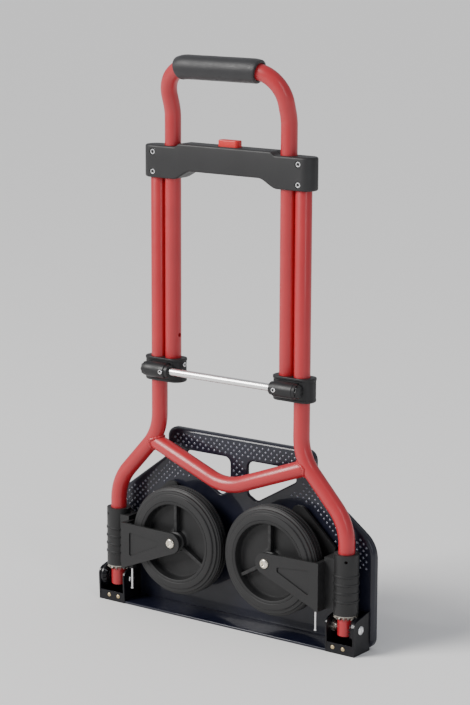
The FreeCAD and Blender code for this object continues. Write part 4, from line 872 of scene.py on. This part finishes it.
dots = bmesh.new()
rows = 0
z = 110.0
while z < 248:
    x = -DOT_START + (DOT_PITCH / 2 if rows % 2 else 0)
    while x < DOT_START:
        if on_pattern(x, z):
            knob(dots, DOT_PROFILE, "y", (x, PLATE_Y, z), 10)
        x += DOT_PITCH
    z += DOT_ROW
    rows += 1
# the dots carry a painted highlight: a lighter bluish colour than the plate
piece("load_plate_dots", dots, "load_plate", "plate_steel", DOTS_PAINTED_HIGHLIGHT, angle=50)
piece("load_plate_pressing", bm, "load_plate", "plate_steel", PLATE, "toe_plate", angle=40)

# ------------------------------------------------------------------ hinge hardware
# (across, level) of each rivet, with the outlines of its head and of its shank and tail:
# first those through the plate, then those through the bracket's front lip
RIVETS = (
    (((178.0, 32.0), (178.0, 43.0), (203.0, 32.0)),
     ([(3.0, 19.5), (2.8, 18.9), (2.2, 18.3), (1.2, 18.0)],
      [(2.0, 19.0), (2.0, 25.0), (2.8, 25.0), (2.5, 25.7), (1.3, 26.1)])),
    (((180.0, 8.0), (196.0, 8.0)),
     ([(2.9, -15.5), (2.7, -16.1), (2.1, -16.6), (1.1, -16.8)],
      [(2.0, -15.6), (2.0, -13.0), (2.8, -13.0), (2.5, -12.3), (1.3, -11.9)])),
)
for side, sign in SIDES:
    bm = bmesh.new()
    from_node(bm, "hinge_bracket_" + side)
    piece("hinge_bracket_coated_" + side, bm, "load_plate", "bracket_steel", HINGE,
          "hinge_bracket_" + side, bevel=0.45)
    for name, finish, slot_name, body in (
        ("fold_gear_", HINGE, "bracket_steel", "load_plate"),
        ("hinge_spacer_", GEAR, "gear_metal", "load_plate"),
        ("crown_gear_", GEAR, "gear_metal", "bracket_" + side),
    ):
        bm = bmesh.new()
        from_node(bm, name + side)
        piece(name + "finished_" + side, bm, body, slot_name, finish, name + side, bevel=0.18)

    bm = bmesh.new()
    lathe(bm, rounded([(0.01, PIN_INNER), (0.01, PIN_OUTER), (4.0, PIN_OUTER),
                       (4.0, PIN_INNER)], 0), "x", (0, 0, PIN_Z), 40)
    for start, way in ((PIN_OUTER, 1), (PIN_INNER, -1)):
        knob(bm, [(6.0, start), (6.0, start + way * 0.5), (5.5, start + way * 1.2),
                  (4.2, start + way * 1.8), (2.4, start + way * 2.1), (1.9, start + way * 2.0),
                  (1.5, start + way * 1.5)], "x", (0, 0, PIN_Z))
    mirror_copy(bm, sign)
    piece("hinge_pin_bright_" + side, bm, "load_plate", "bright_zinc", ZINC, "hinge_pin_" + side)

    bm = bmesh.new()
    for spots, profiles in RIVETS:
        for across, level in spots:
            for profile in profiles:
                knob(bm, profile, "y", (across, 0, level), 32)
    mirror_copy(bm, sign)
    piece("bracket_rivets_domed_" + side, bm, "load_plate", "bright_zinc", BRASS,
          "bracket_rivets_" + side)

# ------------------------------------------------------------------ wheel brackets
for side, sign in SIDES:
    bm = bmesh.new()
    from_node(bm, "wheel_bracket_" + side)
    piece("wheel_bracket_moulding_" + side, bm, "bracket_" + side, "bracket_plastic", BRACKET,
          "wheel_bracket_" + side, bevel=0.7)

    bm = bmesh.new()
    place = (WHEEL[0], 0, WHEEL[2])
    head = AXLE_HEAD
    knob(bm, [(6.6, head), (6.6, head - 0.9), (6.1, head - 1.9), (5.0, head - 2.5),
              (3.5, head - 2.7), (3.2, head - 2.6), (2.9, head - 1.2)], "y", place, 48)
    lathe(bm, [(0.01, head), (0.01, 21.0), (3.6, 21.0), (4.0, 20.4), (4.0, head)], "y",
          place, 40)
    mirror_copy(bm, sign)
    piece("wheel_axle_nickel_" + side, bm, "bracket_" + side, "nickel", NICKEL,
          "wheel_axle_" + side)

# ------------------------------------------------------------------ wheels
def both(half):
    """The same outline on both sides of the wheel's middle."""
    return [(r, -a) for r, a in half] + [(r, a) for r, a in reversed(half)]


TYRE_HALF = [(57.0, 15.0), (57.5, 15.4), (63.6, 15.4), (64.8, 15.1), (65.6, 14.3), (65.9, 13.2),
             (66.5, 12.8), (69.3, 12.7), (70.3, 12.3), (70.8, 11.4), (71.0, 10.2), (71.6, 9.8),
             (72.9, 9.6), (73.6, 9.1), (73.9, 8.0), (74.5, 7.7), (75.0, 7.0), (75.0, 4.6),
             (74.7, 4.3), (73.5, 4.1), (73.3, 3.8), (73.3, 2.6), (73.5, 2.3), (74.7, 2.1),
             (75.0, 1.8)]
RIM_HALF = [(6.08, 17.2), (6.6, 17.85), (8.9, 17.85), (9.5, 17.2), (9.5, 15.6), (10.8, 15.2),
            (11.4, 14.6), (11.4, 11.8), (13.2, 11.2), (14.0, 10.4), (14.0, 5.6), (14.6, 4.0),
            (16.2, 3.0), (19.0, 2.55), (33.0, 2.9), (47.0, 2.55), (49.6, 2.9), (50.8, 4.2),
            (51.6, 6.6), (52.4, 13.6), (52.9, 14.8), (53.8, 15.2), (56.4, 15.4), (56.8, 15.3),
            (57.0, 14.8)]
for side, sign in SIDES:
    centre = (sign * WHEEL[0], WHEEL[1], WHEEL[2])
    bm = bmesh.new()
    lathe(bm, both(TYRE_HALF), "y", centre, 144)
    piece("wheel_tyre_rubber_" + side, bm, "wheel_" + side, "tyre_rubber", RUBBER,
          "wheel_tyre_" + side, angle=28)

    bm = bmesh.new()
    lathe(bm, both(RIM_HALF), "y", centre, 144)
    for turn in (90, 210, 330):
        rib = bmesh.new()
        outline = rounded([(RIB_INNER, RIB_HALF_WIDTH), (RIB_OUTER, RIB_HALF_WIDTH),
                           (RIB_OUTER, -RIB_HALF_WIDTH), (RIB_INNER, -RIB_HALF_WIDTH)], 0)
        slab(rib, [outline], "plan", -RIB_HALF_THICKNESS, RIB_HALF_THICKNESS, edge=0.8,
             segments=3)
        spin = Matrix.Rotation(math.radians(-turn), 4, "Y")
        bmesh.ops.transform(rib, matrix=Matrix.Translation(Vector(centre)) @ spin, verts=rib.verts)
        mesh = poured(rib, "rib")
        bm.from_mesh(mesh)
        bpy.data.meshes.remove(mesh)
    piece("wheel_rim_moulding_" + side, bm, "wheel_" + side, "rim_plastic", RIM,
          "wheel_rim_" + side, angle=30)

# ------------------------------------------------------------------ floor, light, camera
def flat_material(name, colour, roughness):
    """An even finish, for what isn't part of the cart."""
    made = bpy.data.materials.new(name)
    made.use_nodes = True
    shader = made.node_tree.nodes["Principled BSDF"]
    socket(shader, "Base Color", (*colour, 1))
    socket(shader, "Roughness", roughness)
    return made


FLOOR_HALF = 60.0
FLOOR_DROP = 0.0002
bm = bmesh.new()
bm.faces.new([bm.verts.new((across * FLOOR_HALF, along * FLOOR_HALF, -FLOOR_DROP))
              for across, along in ((-1, -1), (1, -1), (1, 1), (-1, 1))])
floor = link(bpy.data.objects.new("floor", poured(bm, "floor")))
floor.data.materials.append(flat_material("studio_floor", (0.90, 0.895, 0.885), 0.8))

world = bpy.data.worlds.new("studio")
bpy.context.scene.world = world
world.use_nodes = True
socket(world.node_tree.nodes["Background"], "Color", (0.93, 0.95, 1.0, 1))
socket(world.node_tree.nodes["Background"], "Strength", 0.50)


def area_light(name, place, aim, size, power, colour):
    """A rectangular light at a place, in metres, turned towards its aim."""
    light = bpy.data.lights.new(name, "AREA")
    light.shape = "RECTANGLE"
    light.size, light.size_y = size
    light.energy = power
    light.color = colour
    obj = link(bpy.data.objects.new(name, light))
    obj.location = place
    obj.rotation_mode = "QUATERNION"
    obj.rotation_quaternion = (Vector(aim) - Vector(place)).to_track_quat("-Z", "Y")


sun = bpy.data.lights.new("window_light", "SUN")
sun.energy = 2.7
sun.angle = math.radians(28)
sun.color = (1.0, 0.985, 0.96)
day = link(bpy.data.objects.new("window_light", sun))
day.rotation_mode = "QUATERNION"
day.rotation_quaternion = Vector((1.7, 2.3, -2.0)).to_track_quat("-Z", "Y")
area_light("key", (-1.9, -2.3, 2.1), (0, 0, 0.4), (1.3, 1.6), 55, (1.0, 0.985, 0.96))
area_light("strip", (2.3, -1.1, 1.4), (0, 0, 0.4), (0.35, 1.9), 11, (0.95, 0.97, 1.0))

# the camera, in metres, with its lens in millimetres and its angles in degrees
TARGET = Vector((0.00924, 0, 0.37804))
DISTANCE = 3.0076
LENS = 115.879
AZIMUTH, ELEVATION, ROLL_ANGLE = (math.radians(a) for a in (35.962, 11.661, 0.216))
back = Vector((math.sin(AZIMUTH) * math.cos(ELEVATION),
               -math.cos(AZIMUTH) * math.cos(ELEVATION), math.sin(ELEVATION)))
camera = link(bpy.data.objects.new("camera", bpy.data.cameras.new("camera")))
camera.data.sensor_width = 36
camera.data.lens = LENS
camera.data.clip_end = 50
camera.location = TARGET + back * DISTANCE
camera.rotation_mode = "QUATERNION"
level = (-back).to_track_quat("-Z", "Y").to_matrix()
camera.rotation_quaternion = (level @ Matrix.Rotation(ROLL_ANGLE, 3, "Z")).to_quaternion()
bpy.context.scene.camera = camera
